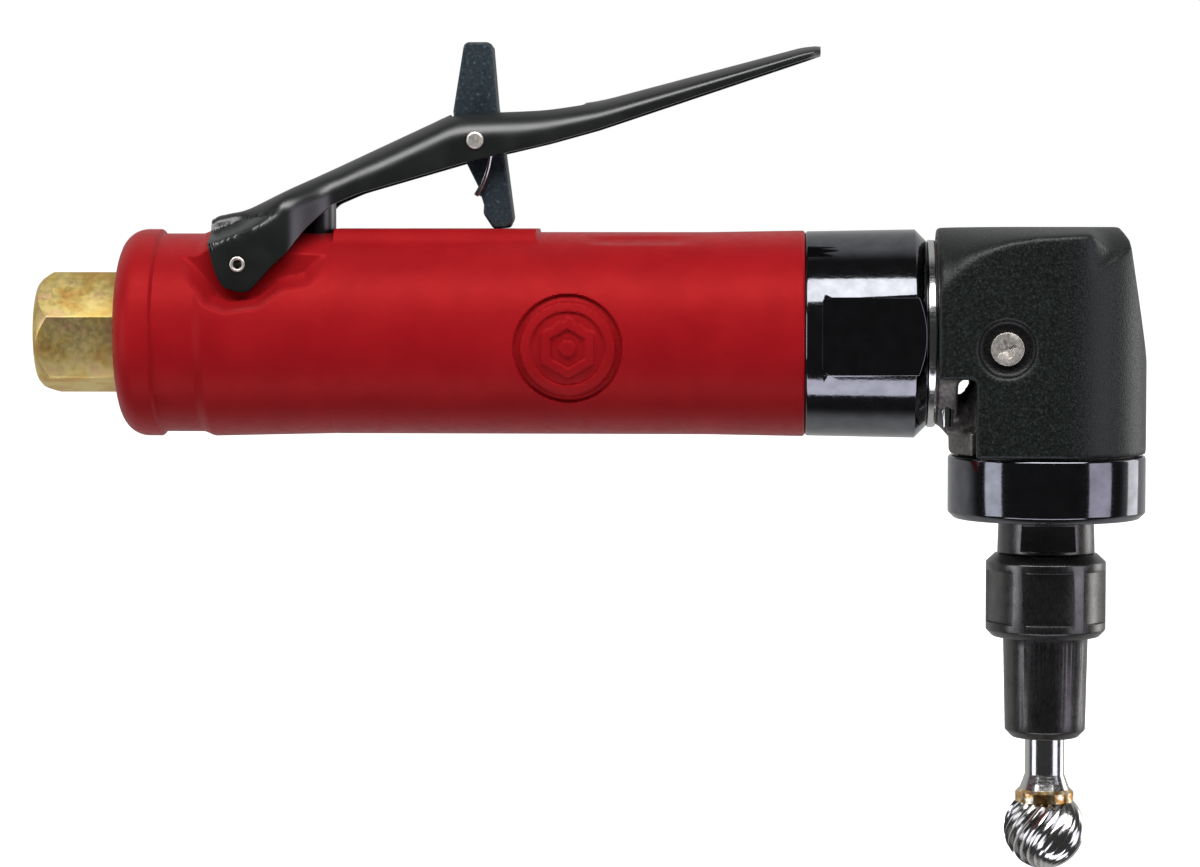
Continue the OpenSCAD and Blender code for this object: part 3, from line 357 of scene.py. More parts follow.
# %% [markdown]
# Black oxide turns the steel's own surface into dark magnetite: a metal that mirrors only a little, so it is black
# where the room is dark and bright where a softbox stands. The cover is cast and powder coated with a fine texture,
# the lever has a smooth black dip coat, and the lock is sintered steel with a grey-blue phosphate speckle.

# %% Black and grey coatings
tree, shader, place = start("black_oxide", "black_oxide_steel", "#68696D", 1.0, 0.09)
marks = grain(tree, place, 0.22, 2.0, stretch=(0.3, 0.3, 1.0))
colours(tree, shader, grain(tree, place, 2.5), (0.3, "#606165"), (0.7, "#707176"))
vary_roughness(tree, shader, marks, 0.06, 0.12)
relief(tree, shader, marks, 0.003)

# The nut and the spindle's nose are blacked after a coarser turning, and mirror less.
tree, shader, place = start("satin_black", "satin_black_oxide_steel", "#5E5D5C", 1.0, 0.3)
marks = grain(tree, place, 0.22, 2.0, stretch=(1.0, 1.0, 0.3))
colours(tree, shader, grain(tree, place, 2.5), (0.3, "#565554"), (0.7, "#666564"))
vary_roughness(tree, shader, marks, 0.26, 0.34)
relief(tree, shader, marks, 0.003)

tree, shader, place = start("black_texture", "textured_powder_coat", "#101513", 0.0, 0.4, Specular_IOR_Level=0.4)
pebbles = grain(tree, place, 0.34, 2.0)
colours(tree, shader, pebbles, (0.3, "#0A0E0C"), (0.6, "#141A17"), (0.74, "#29302D"))
# Painted shade: near the screws' axis the coat's colour is painted nearly black, standing in for the shade deep in the
# counterbores.
PAINTED_SHADE_EDGE = (4.3 * MM, 4.7 * MM)
screw_low, screw_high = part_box("cover_screws")
flat_place = add(tree, "ShaderNodeVectorMath", {0: place, 1: (1, 0, 1)}, operation="MULTIPLY").outputs["Vector"]
screw_middle = (screw_low + screw_high) / 2
off_axis = add(tree, "ShaderNodeVectorMath", {0: flat_place, 1: (screw_middle.x, 0, screw_middle.z)},
               operation="DISTANCE").outputs["Value"]
painted_bore_shade = add(tree, "ShaderNodeMapRange", {"Value": off_axis, "From Min": PAINTED_SHADE_EDGE[0], "From Max": PAINTED_SHADE_EDGE[1],
                                           "To Min": 1.0, "To Max": 0.0}).outputs["Result"]
coat_colour = shader.inputs["Base Color"].links[0].from_socket
# Painted shade: inside the counterbores the coat's colour is mixed to near black.
painted_shade_colour = add(tree, "ShaderNodeMix", {0: painted_bore_shade, 6: coat_colour, 7: linear("#040404")}, data_type="RGBA").outputs[2]
tree.links.new(painted_shade_colour, shader.inputs["Base Color"])
vary_roughness(tree, shader, pebbles, 0.34, 0.5)
relief(tree, shader, pebbles, 0.06)

tree, shader, place = start("lever_black", "black_dip_coat", "#0A0D0C", 0.0, 0.34, Specular_IOR_Level=1.0)
vary_roughness(tree, shader, grain(tree, place, 4.0), 0.31, 0.37)
relief(tree, shader, grain(tree, place, 0.9), 0.004)

tree, shader, place = start("lock_grey", "phosphated_sintered_steel", "#4C5C64", 0.3, 0.5)
specks = grain(tree, place, 0.55, 6.0)
colours(tree, shader, specks, (0.30, "#1F292F"), (0.60, "#2F3C43"), (0.74, "#5B6B73"))
relief(tree, shader, specks, 0.03)

# Screws and pins are barrel plated: a satin nickel that is bright from every side.
tree, shader, place = start("satin_nickel", "satin_nickel_plate", "#E4DFD6", 1.0, 0.45)
vary_roughness(tree, shader, grain(tree, place, 0.5), 0.4, 0.52)

# The angle housing is cast aluminium, left as it came from shot blasting.
tree, shader, place = start("cast_grey", "blasted_cast_aluminium", "#7C7A76", 1.0, 0.55)
colours(tree, shader, grain(tree, place, 0.6, 4.0), (0.3, "#66635F"), (0.7, "#8E8B86"))
relief(tree, shader, grain(tree, place, 0.3), 0.04)
print("finishes:", len(FINISHES))

# %% [markdown]
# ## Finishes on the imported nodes
#
# The record says which slot each node takes its finish from, so every node is given its material in one pass, the
# inner ones too.

# %% Give every node its finish
for row in frame["record"]["subparts"]:
    node_data = frame["nodes"][row["node"]].data
    node_data.materials.clear()
    node_data.materials.append(FINISHES[row["material_slot"]])

# %% [markdown]
# ## The moulded sleeve
#
# The sleeve is one moulding: a rounded rear rim and groove, a slim waist, a raised pad under the lock lever, two
# scoops where the lever's cheeks swing, and a round badge on its side. All of that is relief on a turned form, so it
# is made as a closed grid: rows run along the profile, columns run round the axis, and small functions move the
# outer points. A slot, a plunger hole and the hinge pin's hole are then cut through it.

# %% Measure the sleeve
sleeve_low, sleeve_high = (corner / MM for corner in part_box("housing_sleeve"))
X0, X1 = sleeve_low.x, sleeve_high.x
SLEEVE_R, PAD_Z = -sleeve_low.y, sleeve_high.z
BORE_R = SLEEVE_R - 2.05
WAIST_R = SLEEVE_R - 0.45
REAR_HOLE_R = 10.9
REAR_WALL = 1.8
RIM_ROUND = 4.0
HINGE = Vector(next(j for j in frame["joints"] if j["name"] == "lever_hinge")["pos_m"]) / MM
LOCK = Vector(next(j for j in frame["joints"] if j["name"] == "lock_hinge")["pos_m"]) / MM
PLUNGER_X = (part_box("throttle_plunger")[0].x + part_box("throttle_plunger")[1].x) / 2 / MM
CHEEK_Y = 10.1
BADGE_X, BADGE_Z, BADGE_R = X0 + 72.6, -2.0, 8.7
print("sleeve:", round(X1 - X0, 1), "mm long, radius", round(SLEEVE_R, 2))


# %% [markdown]
# The outer skin is a function of its station and angle. It carries the badge, the raised pad under the lever's tail,
# the scoops beside the hinge, two shallow grooves beside the top and a fine line round the sleeve.


# %% Relief on the sleeve
def ease(value, low, high):
    """Goes smoothly from 0 at low to 1 at high."""
    t = np.clip((value - low) / (high - low), 0, 1)
    return t * t * (3 - 2 * t)


def inside_depth(px, pz, outline):
    """How far each point lies inside the closed outline; negative outside."""
    nearest = np.full(np.shape(px), 1e9)
    inside = np.zeros(np.shape(px), bool)
    for (ax, az), (bx, bz) in zip(outline, outline[1:] + outline[:1]):
        t = np.clip(((px - ax) * (bx - ax) + (pz - az) * (bz - az)) / ((bx - ax) ** 2 + (bz - az) ** 2), 0, 1)
        nearest = np.minimum(nearest, np.hypot(px - ax - t * (bx - ax), pz - az - t * (bz - az)))
        if az != bz:
            inside ^= ((az > pz) != (bz > pz)) & (px < ax + (pz - az) * (bx - ax) / (bz - az))
    return np.where(inside, nearest, -nearest)


SCOOP = [(HINGE.x + x, HINGE.z + z) for x, z in (
    (-9.0, 12.0), (-9.0, 3.5), (-7.6, 0.8), (-3.6, -4.7), (-1.3, -5.6), (2.8, -5.0),
    (6.4, -2.2), (10.4, -1.4), (13.4, 2.2), (13.6, 12.0))]
SCOOP_LIP = 2.2


def hexagon(across, up):
    """Distance from the centre, measured across a hexagon's flats."""
    reach = np.zeros(np.shape(across))
    for turn in range(3):
        a = math.radians(60 * turn)
        reach = np.maximum(reach, np.abs(across * math.cos(a) + up * math.sin(a)))
    return reach


def badge_depth(x, z):
    """How deep the badge is cut: a ring groove and a sunken field, with a raised nut outline and dot."""
    edge = 0.22
    across, up = x - BADGE_X, z - BADGE_Z
    r = np.hypot(across, up)
    groove = ease(r, BADGE_R - 1.1 - edge, BADGE_R - 1.1) * (1 - ease(r, BADGE_R - edge, BADGE_R))
    field = 1 - ease(r, BADGE_R - 2.7 - edge, BADGE_R - 2.7)
    flats = hexagon(across, up)
    nut = ease(flats, 2.6, 2.6 + edge) * (1 - ease(flats, 4.1, 4.1 + edge))
    dot = 1 - ease(r, 1.2, 1.2 + edge)
    return 0.85 * groove + 0.5 * field * (1 - np.maximum(nut, dot))


GROOVE_ANGLE, GROOVE_DEPTH = math.radians(22), 0.3
LINE_AT, LINE_DEPTH = 34.5, 0.05


def sleeve_surface(x, radius, angle):
    """The outer skin at a station, radius and angle from the top, as X, Y and Z in mm."""
    shallow = ease(x, X0 + 73, X0 + 79) * (1 - ease(x, X0 + 88, X0 + 94))
    off_top = np.abs((angle + math.pi) % (2 * math.pi) - math.pi)
    radius = radius - GROOVE_DEPTH * shallow * (1 - ease(np.abs(off_top - GROOVE_ANGLE), 0.02, 0.14))
    radius = radius - LINE_DEPTH * (1 - ease(np.abs(x - X0 - LINE_AT), 0.0, 0.25))
    y, z = -radius * np.sin(angle), radius * np.cos(angle)
    pad_length = ease(x, PLUNGER_X + 2.9, PLUNGER_X + 3.3) * (1 - ease(x, LOCK.x + 9.6, LOCK.x + 10))
    pad = (1 - ease(np.abs(y), 5.2, 7.6)) * pad_length
    z = np.where((z > 0) & (z < PAD_Z), z + (PAD_Z - z) * pad, z)
    scoop = ease(inside_depth(x, z, SCOOP), -SCOOP_LIP, 0.05)
    y = np.where(np.abs(y) > CHEEK_Y, np.sign(y) * (np.abs(y) - (np.abs(y) - CHEEK_Y) * scoop), y)
    badge = np.where(y < 0, badge_depth(x, z), 0.0)
    return np.stack([x, y + badge, z], -1)


# %% [markdown]
# Rows are close together only where the relief is fine, at the badge, the scoops and the pad's ends, so the mesh stays
# light. The profile is walked once round: the rear face, the outside, the front face and back through the bore.

# %% Build the sleeve's grid
def stations(*spans):
    """Values through (start, end, step) spans."""
    return np.concatenate([np.arange(a, b - step / 2, step) for a, b, step in spans])


rim = [(X0 + RIM_ROUND * (1 - math.cos(a)), SLEEVE_R - RIM_ROUND + RIM_ROUND * math.sin(a))
       for a in np.linspace(0, math.pi / 2, 14)]
outline = [(X0 + 6.1, SLEEVE_R), (X0 + 6.6, SLEEVE_R - 0.7), (X0 + 13.1, SLEEVE_R - 0.7), (X0 + 14.7, SLEEVE_R),
           (X0 + 34.3, WAIST_R), (X0 + 94.3, WAIST_R), (X1 - 0.3, SLEEVE_R - 0.2), (X1, SLEEVE_R - 0.5)]
outer_x = stations((X0 + RIM_ROUND + 0.4, X0 + 7.2, 0.2), (X0 + 7.2, X0 + 34, 0.32), (X0 + 34, X0 + 35, 0.12),
                   (X0 + 35, X0 + 63, 0.5), (X0 + 63, X0 + 82, 0.22), (X0 + 82, X1 - 0.5, 0.8),
                   (X1 - 0.5, X1 + 0.1, 0.15))
outer_r = np.interp(outer_x, [p[0] for p in outline], [p[1] for p in outline])
skin = rim + list(zip(outer_x, outer_r)) + [(X1, SLEEVE_R - 0.5)]
bore_x = stations((HINGE.x - 12, HINGE.x + 16, 0.8))[::-1]
rear_step = [(X0 + REAR_WALL, BORE_R), (X0 + REAR_WALL, REAR_HOLE_R), (X0, REAR_HOLE_R)]
lining = [(X1, BORE_R)] + [(x, BORE_R) for x in bore_x] + rear_step
side = np.radians(stations((56, 138, 0.8)))
crown = np.radians(np.concatenate([stations((0, 56, 1.4)), stations((138, 222, 3.0)), stations((222, 360, 1.4))]))
angles = np.sort(np.concatenate([crown, side]))

grid = []
for x, r in skin:
    grid.append(sleeve_surface(np.full(len(angles), x), r, angles))
for x, r in lining:
    y, z = -r * np.sin(angles), r * np.cos(angles)
    if abs(x - HINGE.x - 1.75) < 12.25 and r == BORE_R:
        y = np.where((z > HINGE.z - 7) & (np.abs(y) > CHEEK_Y - 1.1), np.sign(y) * (CHEEK_Y - 1.1), y)
    grid.append(np.stack([np.full(len(angles), x), y, z], -1))
rows, columns = len(grid), len(angles)
corner = lambda i, j: (i % rows) * columns + j % columns
faces = [(corner(i, j), corner(i, j + 1), corner(i + 1, j + 1), corner(i + 1, j))
         for i in range(rows) for j in range(columns)]
sleeve = part("moulded_sleeve", np.concatenate(grid) * MM, faces)
print("sleeve grid:", rows, "rows,", columns, "columns,", len(sleeve.data.polygons), "faces")


# %% [markdown]
# The sleeve is opened for the lock lever's foot, the plunger and the hinge pin, each hole a little wider than what
# passes through it.


# %% Cut the openings
def cutter(name, vertices, faces):
    """A closed tool for a cut, in mm."""
    made = part(name, [Vector(v) * MM for v in vertices], faces)
    made.hide_render = True
    return made


def prism(name, outline, low, high, axis):
    """A straight prism: its outline in the two other axes, from low to high along axis 'Y' or 'Z'."""
    place = (lambda u, v, w: (u, w, v)) if axis == "Y" else (lambda u, v, w: (u, v, w))
    n = len(outline)
    vertices = [place(u, v, w) for w in (low, high) for u, v in outline]
    sides = [(i, (i + 1) % n, n + (i + 1) % n, n + i) for i in range(n)]
    return cutter(name, vertices, sides + [tuple(range(n)), tuple(range(n, 2 * n))])


def ring_of(cx, cy, r, count=48):
    """A circle as an outline."""
    return [(cx + r * math.cos(2 * math.pi * i / count), cy + r * math.sin(2 * math.pi * i / count))
            for i in range(count)]


def rounded_box(x0, x1, y0, y1, r, count=6):
    """A rectangle with rounded corners as an outline."""
    turns = [(x1 - r, y1 - r, 0), (x0 + r, y1 - r, 90), (x0 + r, y0 + r, 180), (x1 - r, y0 + r, 270)]
    return [(cx + r * math.cos(math.radians(a + 90 * i / count)), cy + r * math.sin(math.radians(a + 90 * i / count)))
            for cx, cy, a in turns for i in range(count + 1)]


def cut(piece, *tools):
    """Takes the tools out of the piece and removes them."""
    for tool in tools:
        modify(piece, "BOOLEAN", operation="DIFFERENCE", object=tool, solver="EXACT")
    settle(piece)
    for tool in tools:
        bpy.data.objects.remove(tool)
    return piece


SLOT_HALF = 3.3
PLUNGER_HOLE_R = 3.3
PIN_HOLE_R = 1.31
cut(sleeve,
    prism("slot_tool", rounded_box(LOCK.x - 11, LOCK.x + 6.4, -SLOT_HALF, SLOT_HALF, 0.8), 10, 2 * SLEEVE_R, "Z"),
    prism("plunger_tool", ring_of(PLUNGER_X, 0, PLUNGER_HOLE_R), 8, 2 * SLEEVE_R, "Z"),
    prism("pin_tool", ring_of(HINGE.x, HINGE.z, PIN_HOLE_R), -2 * SLEEVE_R, 2 * SLEEVE_R, "Y"))


def smooth_where_soft(piece, degrees=35):
    """Shades the piece smooth, apart from edges sharper than the angle."""
    piece.data.shade_smooth()
    piece.data.set_sharp_from_angle(angle=math.radians(degrees))


def finish_piece(piece, body, slot, *nodes, finish=None):
    """Gives the piece its finish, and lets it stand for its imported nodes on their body."""
    piece.data.materials.clear()
    piece.data.materials.append(FINISHES[finish or slot])
    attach(piece, body)
    if nodes:
        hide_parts(*nodes)
    print(piece.name, "has", sum(len(p.vertices) - 2 for p in piece.data.polygons), "triangles")
    return piece


smooth_where_soft(sleeve)
finish_piece(sleeve, "root", "red_moulding", "housing_sleeve")

# %% [markdown]
# ## Edges that catch the light
#
# Turned and milled steel never has a knife edge: a light chamfer or a rub of a file leaves a thin line that shines.
# For the hard-edged nodes a copy is taken, its triangles are merged, and a small bevel is set on every sharp edge.


# %% Ease the edges of turned pieces
def merged_copy(name, node):
    """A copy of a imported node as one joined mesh, with its flat faces in one piece each."""
    mesh = frame["nodes"][node].data.copy()
    made = bpy.data.objects.new(name, mesh)
    bpy.context.scene.collection.objects.link(made)
    shape = bmesh.new()
    shape.from_mesh(mesh)
    bmesh.ops.remove_doubles(shape, verts=shape.verts, dist=2e-6)
    bmesh.ops.dissolve_limit(shape, angle_limit=math.radians(0.5), verts=shape.verts, edges=shape.edges)
    shape.to_mesh(mesh)
    shape.free()
    return made


def eased(name, node, body, slot, width, sharp=32, finish=None):
    """A merged copy with every edge sharper than the angle bevelled, to the width in mm."""
    piece = merged_copy(name, node)
    modify(piece, "BEVEL", width=width * MM, segments=2, limit_method="ANGLE", angle_limit=math.radians(sharp),
           harden_normals=False, use_clamp_overlap=True)
    settle(piece)
    smooth_where_soft(piece, 28)
    return finish_piece(piece, body, slot, node, finish=finish)


eased("turned_clamp_ring", "clamp_ring", "root", "black_oxide", 0.22)
eased("turned_bearing_cap", "bearing_cap", "root", "black_oxide", 0.2)
eased("hexagonal_collet_nut", "collet_nut", "spindle", "black_oxide", 0.18, finish="satin_black")
eased("flanged_spindle", "spindle", "spindle", "black_oxide", 0.15, finish="satin_black")
eased("plated_inlet", "inlet_bushing", "root", "yellow_zinc", 0.25)
eased("bright_collar", "head_collar", "root", "bright_steel", 0.15)
eased("pan_head_screws", "cover_screws", "root", "bright_steel", 0.05, finish="satin_nickel")

# %% [markdown]
# ## Castings
#
# The cover and the housing under it are cast, and casting leaves no sharp edge at all. A voxel remesh of the merged
# copy turns it into even small faces, and a few passes of smoothing round every edge by about half a millimetre.


# %% Soften the castings
def cast(name, node, body, slot, voxel, passes, finish=None, swell=None, fill=None):
    """A merged copy, filled where asked, remeshed to voxels of that size in mm, swollen where asked and smoothed."""
    piece = merged_copy(name, node)
    if fill:
        fill(piece)
    modify(piece, "REMESH", mode="VOXEL", voxel_size=voxel * MM, use_smooth_shade=True)
    settle(piece)
    if swell:
        swell(piece)
    modify(piece, "SMOOTH", factor=0.5, iterations=passes)
    settle(piece)
    piece.data.shade_smooth()
    return finish_piece(piece, body, slot, node, finish=finish)


# %% [markdown]
# The cover's side rises flat, up to an arc that climbs from its rear edge to the top of the drum. Each point of the
# round outer skin moves outwards along its ray from the motor's axis, to the section drawn for its X.

# %% Make the cover
COVER_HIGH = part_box("head_cover")[1]
COVER_HALF = COVER_HIGH.y / MM
COVER_CREASE = 6.54
COVER_ROUND = math.sqrt(COVER_HALF ** 2 + COVER_CREASE ** 2)
DRUM_X = COVER_HIGH.x / MM - COVER_HALF
ARC_LINE = [(144.0, 5.0), (145.8, 6.8), (148.0, 9.8), (151.0, 12.2), (155.0, 14.1), (159.7, 15.1), (167.4, 15.6)]


def swell_barrel(piece):
    """Fills out the upper corners of the cover's outer skin as far as the arc; the bore and the drum's front stay."""
    count = len(piece.data.vertices)
    points = np.empty(count * 3)
    piece.data.vertices.foreach_get("co", points)
    points = points.reshape(count, 3) / MM
    x, y, z = points.T
    radius, angle = np.hypot(y, z), np.arctan2(np.abs(y), z)
    half = np.sqrt(np.maximum(COVER_HALF ** 2 - np.maximum(x - DRUM_X, 0) ** 2, 1.0))
    sine, cosine = np.sin(angle), np.cos(angle)
    skin = np.minimum(COVER_ROUND, half / np.maximum(sine, 1e-6))
    crest = np.interp(x, *zip(*ARC_LINE))
    rise = COVER_ROUND - crest
    a, b, c = (cosine / rise) ** 2 + (sine / half) ** 2, -2 * crest * cosine / rise ** 2, (crest / rise) ** 2 - 1
    upper = (-b + np.sqrt(np.maximum(b * b - 4 * a * c, 0))) / (2 * a)
    wall = half / np.maximum(sine, 1e-6)
    wanted = np.maximum(skin, np.where(wall * cosine < crest, wall, upper))
    share = (z > 0) * np.clip((radius - skin + 0.7) / 0.4, 0, 1) * (1 - ease(x, DRUM_X + 5.5, DRUM_X + 10.0))
    factor = 1 + share * (wanted / skin - 1)
    points[:, 1] *= factor
    points[:, 2] = np.minimum(z * factor, np.maximum(z, COVER_ROUND))
    piece.data.vertices.foreach_set("co", (points * MM).ravel())
    piece.data.update()
    print("swollen points:", int((factor > 1.001).sum()), "of", count)


cast("cast_head_cover", "head_cover", "root", "black_texture", 0.36, 7, swell=swell_barrel)


# %% [markdown]
# The housing's flange runs into its drum through a cast web, below the pinion's bearing and between the neck screws.
# The block is set by its half width, by how far its ends pass those of the neck screws, and by how far its lower and
# upper faces lie under the bearing's outer race.


# %% Make the housing
WEB_HALF = 6.3
WEB_PAST = (0.6, 4.2)
WEB_UNDER = (5.4, 0.1)


def fill_web(piece):
    """Adds the web between flange and drum as a block that the voxels join."""
    flange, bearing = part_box("neck_screws"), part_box("pinion_outer_race")
    x0, x1 = flange[0].x / MM + WEB_PAST[0], flange[1].x / MM + WEB_PAST[1]
    z0, z1 = bearing[0].z / MM - WEB_UNDER[0], bearing[0].z / MM - WEB_UNDER[1]
    block = prism("web", [(x0, z0), (x1, z0), (x1, z1), (x0, z1)], -WEB_HALF, WEB_HALF, "Y")
    modify(piece, "BOOLEAN", operation="UNION", solver="EXACT", object=block)
    settle(piece)
    bpy.data.objects.remove(block)


cast("cast_angle_housing", "angle_housing", "root", "case_steel", 0.5, 3, finish="cast_grey", fill=fill_web)

# %% [markdown]
# ## The throttle lever
#
# The lever is pressed from sheet steel: a channel with soft bends, whose sides spread into two cheeks at the hinge.
# It is lofted from sections across the lever. Each section is an upside-down U whose top, lower edge, half width and
# bends follow smooth lines along the lever, so the press's soft transitions come by themselves.

# %% Lines along the lever
SHEET = 1.6
CHANNEL_HALF = 6.5
CHEEK_HALF = 12.0
FRONT = -4.9
REACH = 92.7
TOP_LINE = [(FRONT, 7.0), (-3.4, 8.0), (-0.1, 8.2), (5.4, 10.7), (14.1, 15.1), (31.4, 23.1), (34.0, 24.4),
            (48.7, 24.9), (57.4, 26.1), (90.5, 34.8), (REACH, 34.6)]
LOWER_LINE = [(FRONT, 3.8), (-3.6, -1.4), (-2.4, -3.6), (-0.1, -4.4), (1.7, -4.4), (3.3, -2.7), (5.6, -0.1), (7.7, 1.7),
              (10.5, 5.6), (14.3, 9.4), (18.5, 11.2), (35.8, 16.2), (48.7, 19.2), (56.7, 21.4), (REACH, 33.4)]


def soft_line(x, points, reach):
    """The line through the points, rounded off over that reach."""
    px, pz = [p[0] for p in points], [p[1] for p in points]
    return float(np.mean([np.interp(x + reach * s, px, pz) for s in np.linspace(-1, 1, 11)]))


def half_section(x, inset):
    """The right half of a section, from the middle of the top to the lower edge, as evenly spaced (y, z) in mm."""
    top = soft_line(x, TOP_LINE, min(2.0, max(0.3, x - FRONT), max(0.1, REACH - x)))
    low = soft_line(x, LOWER_LINE, 0.5)
    tip = math.sqrt(max(0.0, 1 - max(0.0, (x - REACH + 3.2) / 3.4) ** 2))
    channel = CHANNEL_HALF - 3.0 * (1 - tip)
    cheek = channel + (CHEEK_HALF - CHANNEL_HALF) * (1 - float(ease(x, 7.0, 15.5)))
    tab = channel + (cheek - channel) * float(ease(x, -1.0, 7.5))
    shoulder = 4.8 + 0.38 * (x - FRONT) - inset
    top = max(top - inset, low + 0.02)
    soft = 0.3 + 0.7 * float(ease(x, -1.0, 12.0))
    bend_y = max(0.3, 6.0 * soft - 0.8 * inset)
    bend_z = max(0.01, min(max(0.3, 4.6 * soft - 0.8 * inset), 0.7 * (top - low)))
    turn = np.linspace(0, math.pi / 2, 40)
    down = np.linspace(top - bend_z, low, 160)[1:]
    ys = np.concatenate([[0], tab - inset - bend_y * (1 - np.sin(turn)),
                         tab + (cheek - tab) * (1 - ease(down, shoulder - 2.2, shoulder + 0.6)) - inset])
    zs = np.concatenate([[top], top - bend_z * (1 - np.cos(turn)), down])
    along = np.concatenate([[0], np.cumsum(np.hypot(np.diff(ys), np.diff(zs)))])
    even = np.linspace(0, along[-1], 40)
    return list(zip(np.interp(even, along, ys).tolist(), np.interp(even, along, zs).tolist()))


# %% [markdown]
# The sections are close together at the hinge and the tail, where the lever's lines turn. The loft is then bevelled
# at its sheared edges and cut for the lock lever and the two pins.

# %% Loft the lever
LOCK_SLOT_HALF = 3.1
HINGE_HOLE_R = 1.36
LOCK_HOLE_R = 1.44
lever_x = stations((FRONT, 16, 0.35), (16, REACH - 4, 1.2), (REACH - 4, REACH + 0.01, 0.3))
sections = []
for x in lever_x:
    outer, inner = half_section(x, 0.0), half_section(x, SHEET)
    loop = [(-y, z) for y, z in outer[::-1]] + outer[1:] + inner[::-1] + [(-y, z) for y, z in inner[1:]]
    sections.append([(HINGE.x + x, y, HINGE.z + z) for y, z in loop])
around = len(sections[0])
spine = len(outer) * 2 - 1
walls = [(i * around + j, i * around + (j + 1) % around, (i + 1) * around + (j + 1) % around, (i + 1) * around + j)
         for i in range(len(sections) - 1) for j in range(around)]
end_face = lambda i: [(i * around + j, i * around + j + 1, i * around + (2 * spine - 2 - j) % around,
                       i * around + (2 * spine - 1 - j) % around) for j in range(spine - 1)]
lever = part("pressed_lever", [Vector(p) * MM for s in sections for p in s],
             walls + end_face(0) + end_face(len(sections) - 1))
modify(lever, "BEVEL", width=0.28 * MM, segments=3, limit_method="ANGLE", angle_limit=math.radians(62))
settle(lever)
cut(lever,
    prism("lock_slot_tool", rounded_box(LOCK.x - 4.4, LOCK.x + 17.4, -LOCK_SLOT_HALF, LOCK_SLOT_HALF, 0.9),
          LOCK.z, LOCK.z + 20, "Z"),
    prism("hinge_tool", ring_of(HINGE.x, HINGE.z, HINGE_HOLE_R), -20, 20, "Y"),
    prism("lock_pin_tool", ring_of(LOCK.x, LOCK.z, LOCK_HOLE_R), -20, 20, "Y"))
smooth_where_soft(lever, 30)
finish_piece(lever, "lever", "lever_black", "throttle_lever")
eased("riveted_lock_pin", "lock_pin", "lever", "bright_steel", 0.35, finish="satin_nickel")
eased("hollow_hinge_pin", "lever_pin", "root", "bright_steel", 0.25, finish="satin_nickel")
eased("sintered_lock_lever", "lock_lever", "lock", "lock_grey", 0.45)
eased("valve_plunger", "throttle_plunger", "plunger", "lever_black", 0.15)

# %% [markdown]
# ## Shapes that follow a rule
#
# The burr's flutes, the lock's spring and the thread in the inlet each repeat one form along a path. Geometry Nodes
# state such a rule once, with its sizes as named inputs, and the result is turned into a plain mesh.


# %% Grow a piece from a node tree
def recipe(name, inputs):
    """An empty geometry tree with named inputs, given as {name: (socket kind, value)}."""
    tree = bpy.data.node_groups.new(name, "GeometryNodeTree")
    tree.interface.new_socket("Geometry", in_out="OUTPUT", socket_type="NodeSocketGeometry")
    for label, (kind, value) in inputs.items():
        tree.interface.new_socket(label, in_out="INPUT", socket_type="NodeSocket" + kind).default_value = value
    return tree, add(tree, "NodeGroupInput").outputs


def maths(tree, operation, *values):
    """A Math node's result."""
    return add(tree, "ShaderNodeMath", dict(enumerate(values)), operation=operation).outputs[0]


def close(tree, geometry, slot):
    """Ends the tree in Realize Instances and Set Material."""
    real = add(tree, "GeometryNodeRealizeInstances", {"Geometry": geometry}).outputs["Geometry"]
    dressed = add(tree, "GeometryNodeSetMaterial", {"Geometry": real, "Material": FINISHES[slot]}).outputs["Geometry"]
    add(tree, "NodeGroupOutput", {"Geometry": dressed})


def grow(name, tree, **values):
    """An object whose mesh is the tree's result with these input values."""
    made = bpy.data.objects.new(name, bpy.data.meshes.new(name))
    scene.collection.objects.link(made)
    modifier = made.modifiers.new(name, "NODES")
    modifier.node_group = tree
    for item in tree.interface.items_tree:
        key = item.name.lower().replace(" ", "_")
        if item.in_out == "INPUT" and key in values:
            modifier[item.identifier] = values[key]
    return settle(made)


# %% [markdown]
# The burr's ball is ground with helical flutes. Seen along a flute the surface climbs slowly and drops at a sharp
# edge, so the ball's points are drawn inwards by a sawtooth of their angle, and each ring is then turned by its
# height. The mesh's columns turn with the flutes, so the edges stay clean.

# %% Grow the burr
burr_low, burr_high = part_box("burr_head")
BURR_R = (burr_high.x - burr_low.x) / 2
burr_centre = Vector(((burr_low.x + burr_high.x) / 2, 0, burr_low.z + BURR_R))

tree, given = recipe("fluted_ball", {"Radius": ("Float", 0.0065), "Flutes": ("Int", 20), "Twist": ("Float", 0.8),
                                     "Depth": ("Float", 0.0009), "Centre": ("Vector", (0, 0, 0))})
STEPS = 12
columns_in = maths(tree, "MULTIPLY", given["Flutes"], STEPS)
ball = add(tree, "GeometryNodeMeshUVSphere",
           {"Segments": columns_in, "Rings": 96, "Radius": given["Radius"]}).outputs["Mesh"]
place = add(tree, "GeometryNodeInputPosition").outputs["Position"]
xyz = add(tree, "ShaderNodeSeparateXYZ", {"Vector": place}).outputs
height = maths(tree, "DIVIDE", xyz["Z"], given["Radius"])
turns = maths(tree, "DIVIDE", maths(tree, "ARCTAN2", xyz["Y"], xyz["X"]), 2 * math.pi)
tooth = maths(tree, "FRACT", maths(tree, "ADD", maths(tree, "MULTIPLY", turns, given["Flutes"]), 0.5 / STEPS))
gullet = maths(tree, "POWER", maths(tree, "SUBTRACT", 1.0, tooth), 1.5)
girth_squared = maths(tree, "SUBTRACT", 1.0, maths(tree, "MULTIPLY", height, height))
girth = maths(tree, "SQRT", maths(tree, "MAXIMUM", girth_squared, 0.0))
sunk = maths(tree, "MULTIPLY", maths(tree, "MULTIPLY", gullet, maths(tree, "POWER", girth, 0.7)),
             maths(tree, "DIVIDE", given["Depth"], given["Radius"]))
drawn = add(tree, "ShaderNodeVectorMath", {0: place, "Scale": maths(tree, "SUBTRACT", 1.0, sunk)},
            operation="SCALE").outputs["Vector"]
twist = maths(tree, "MULTIPLY", height, given["Twist"])
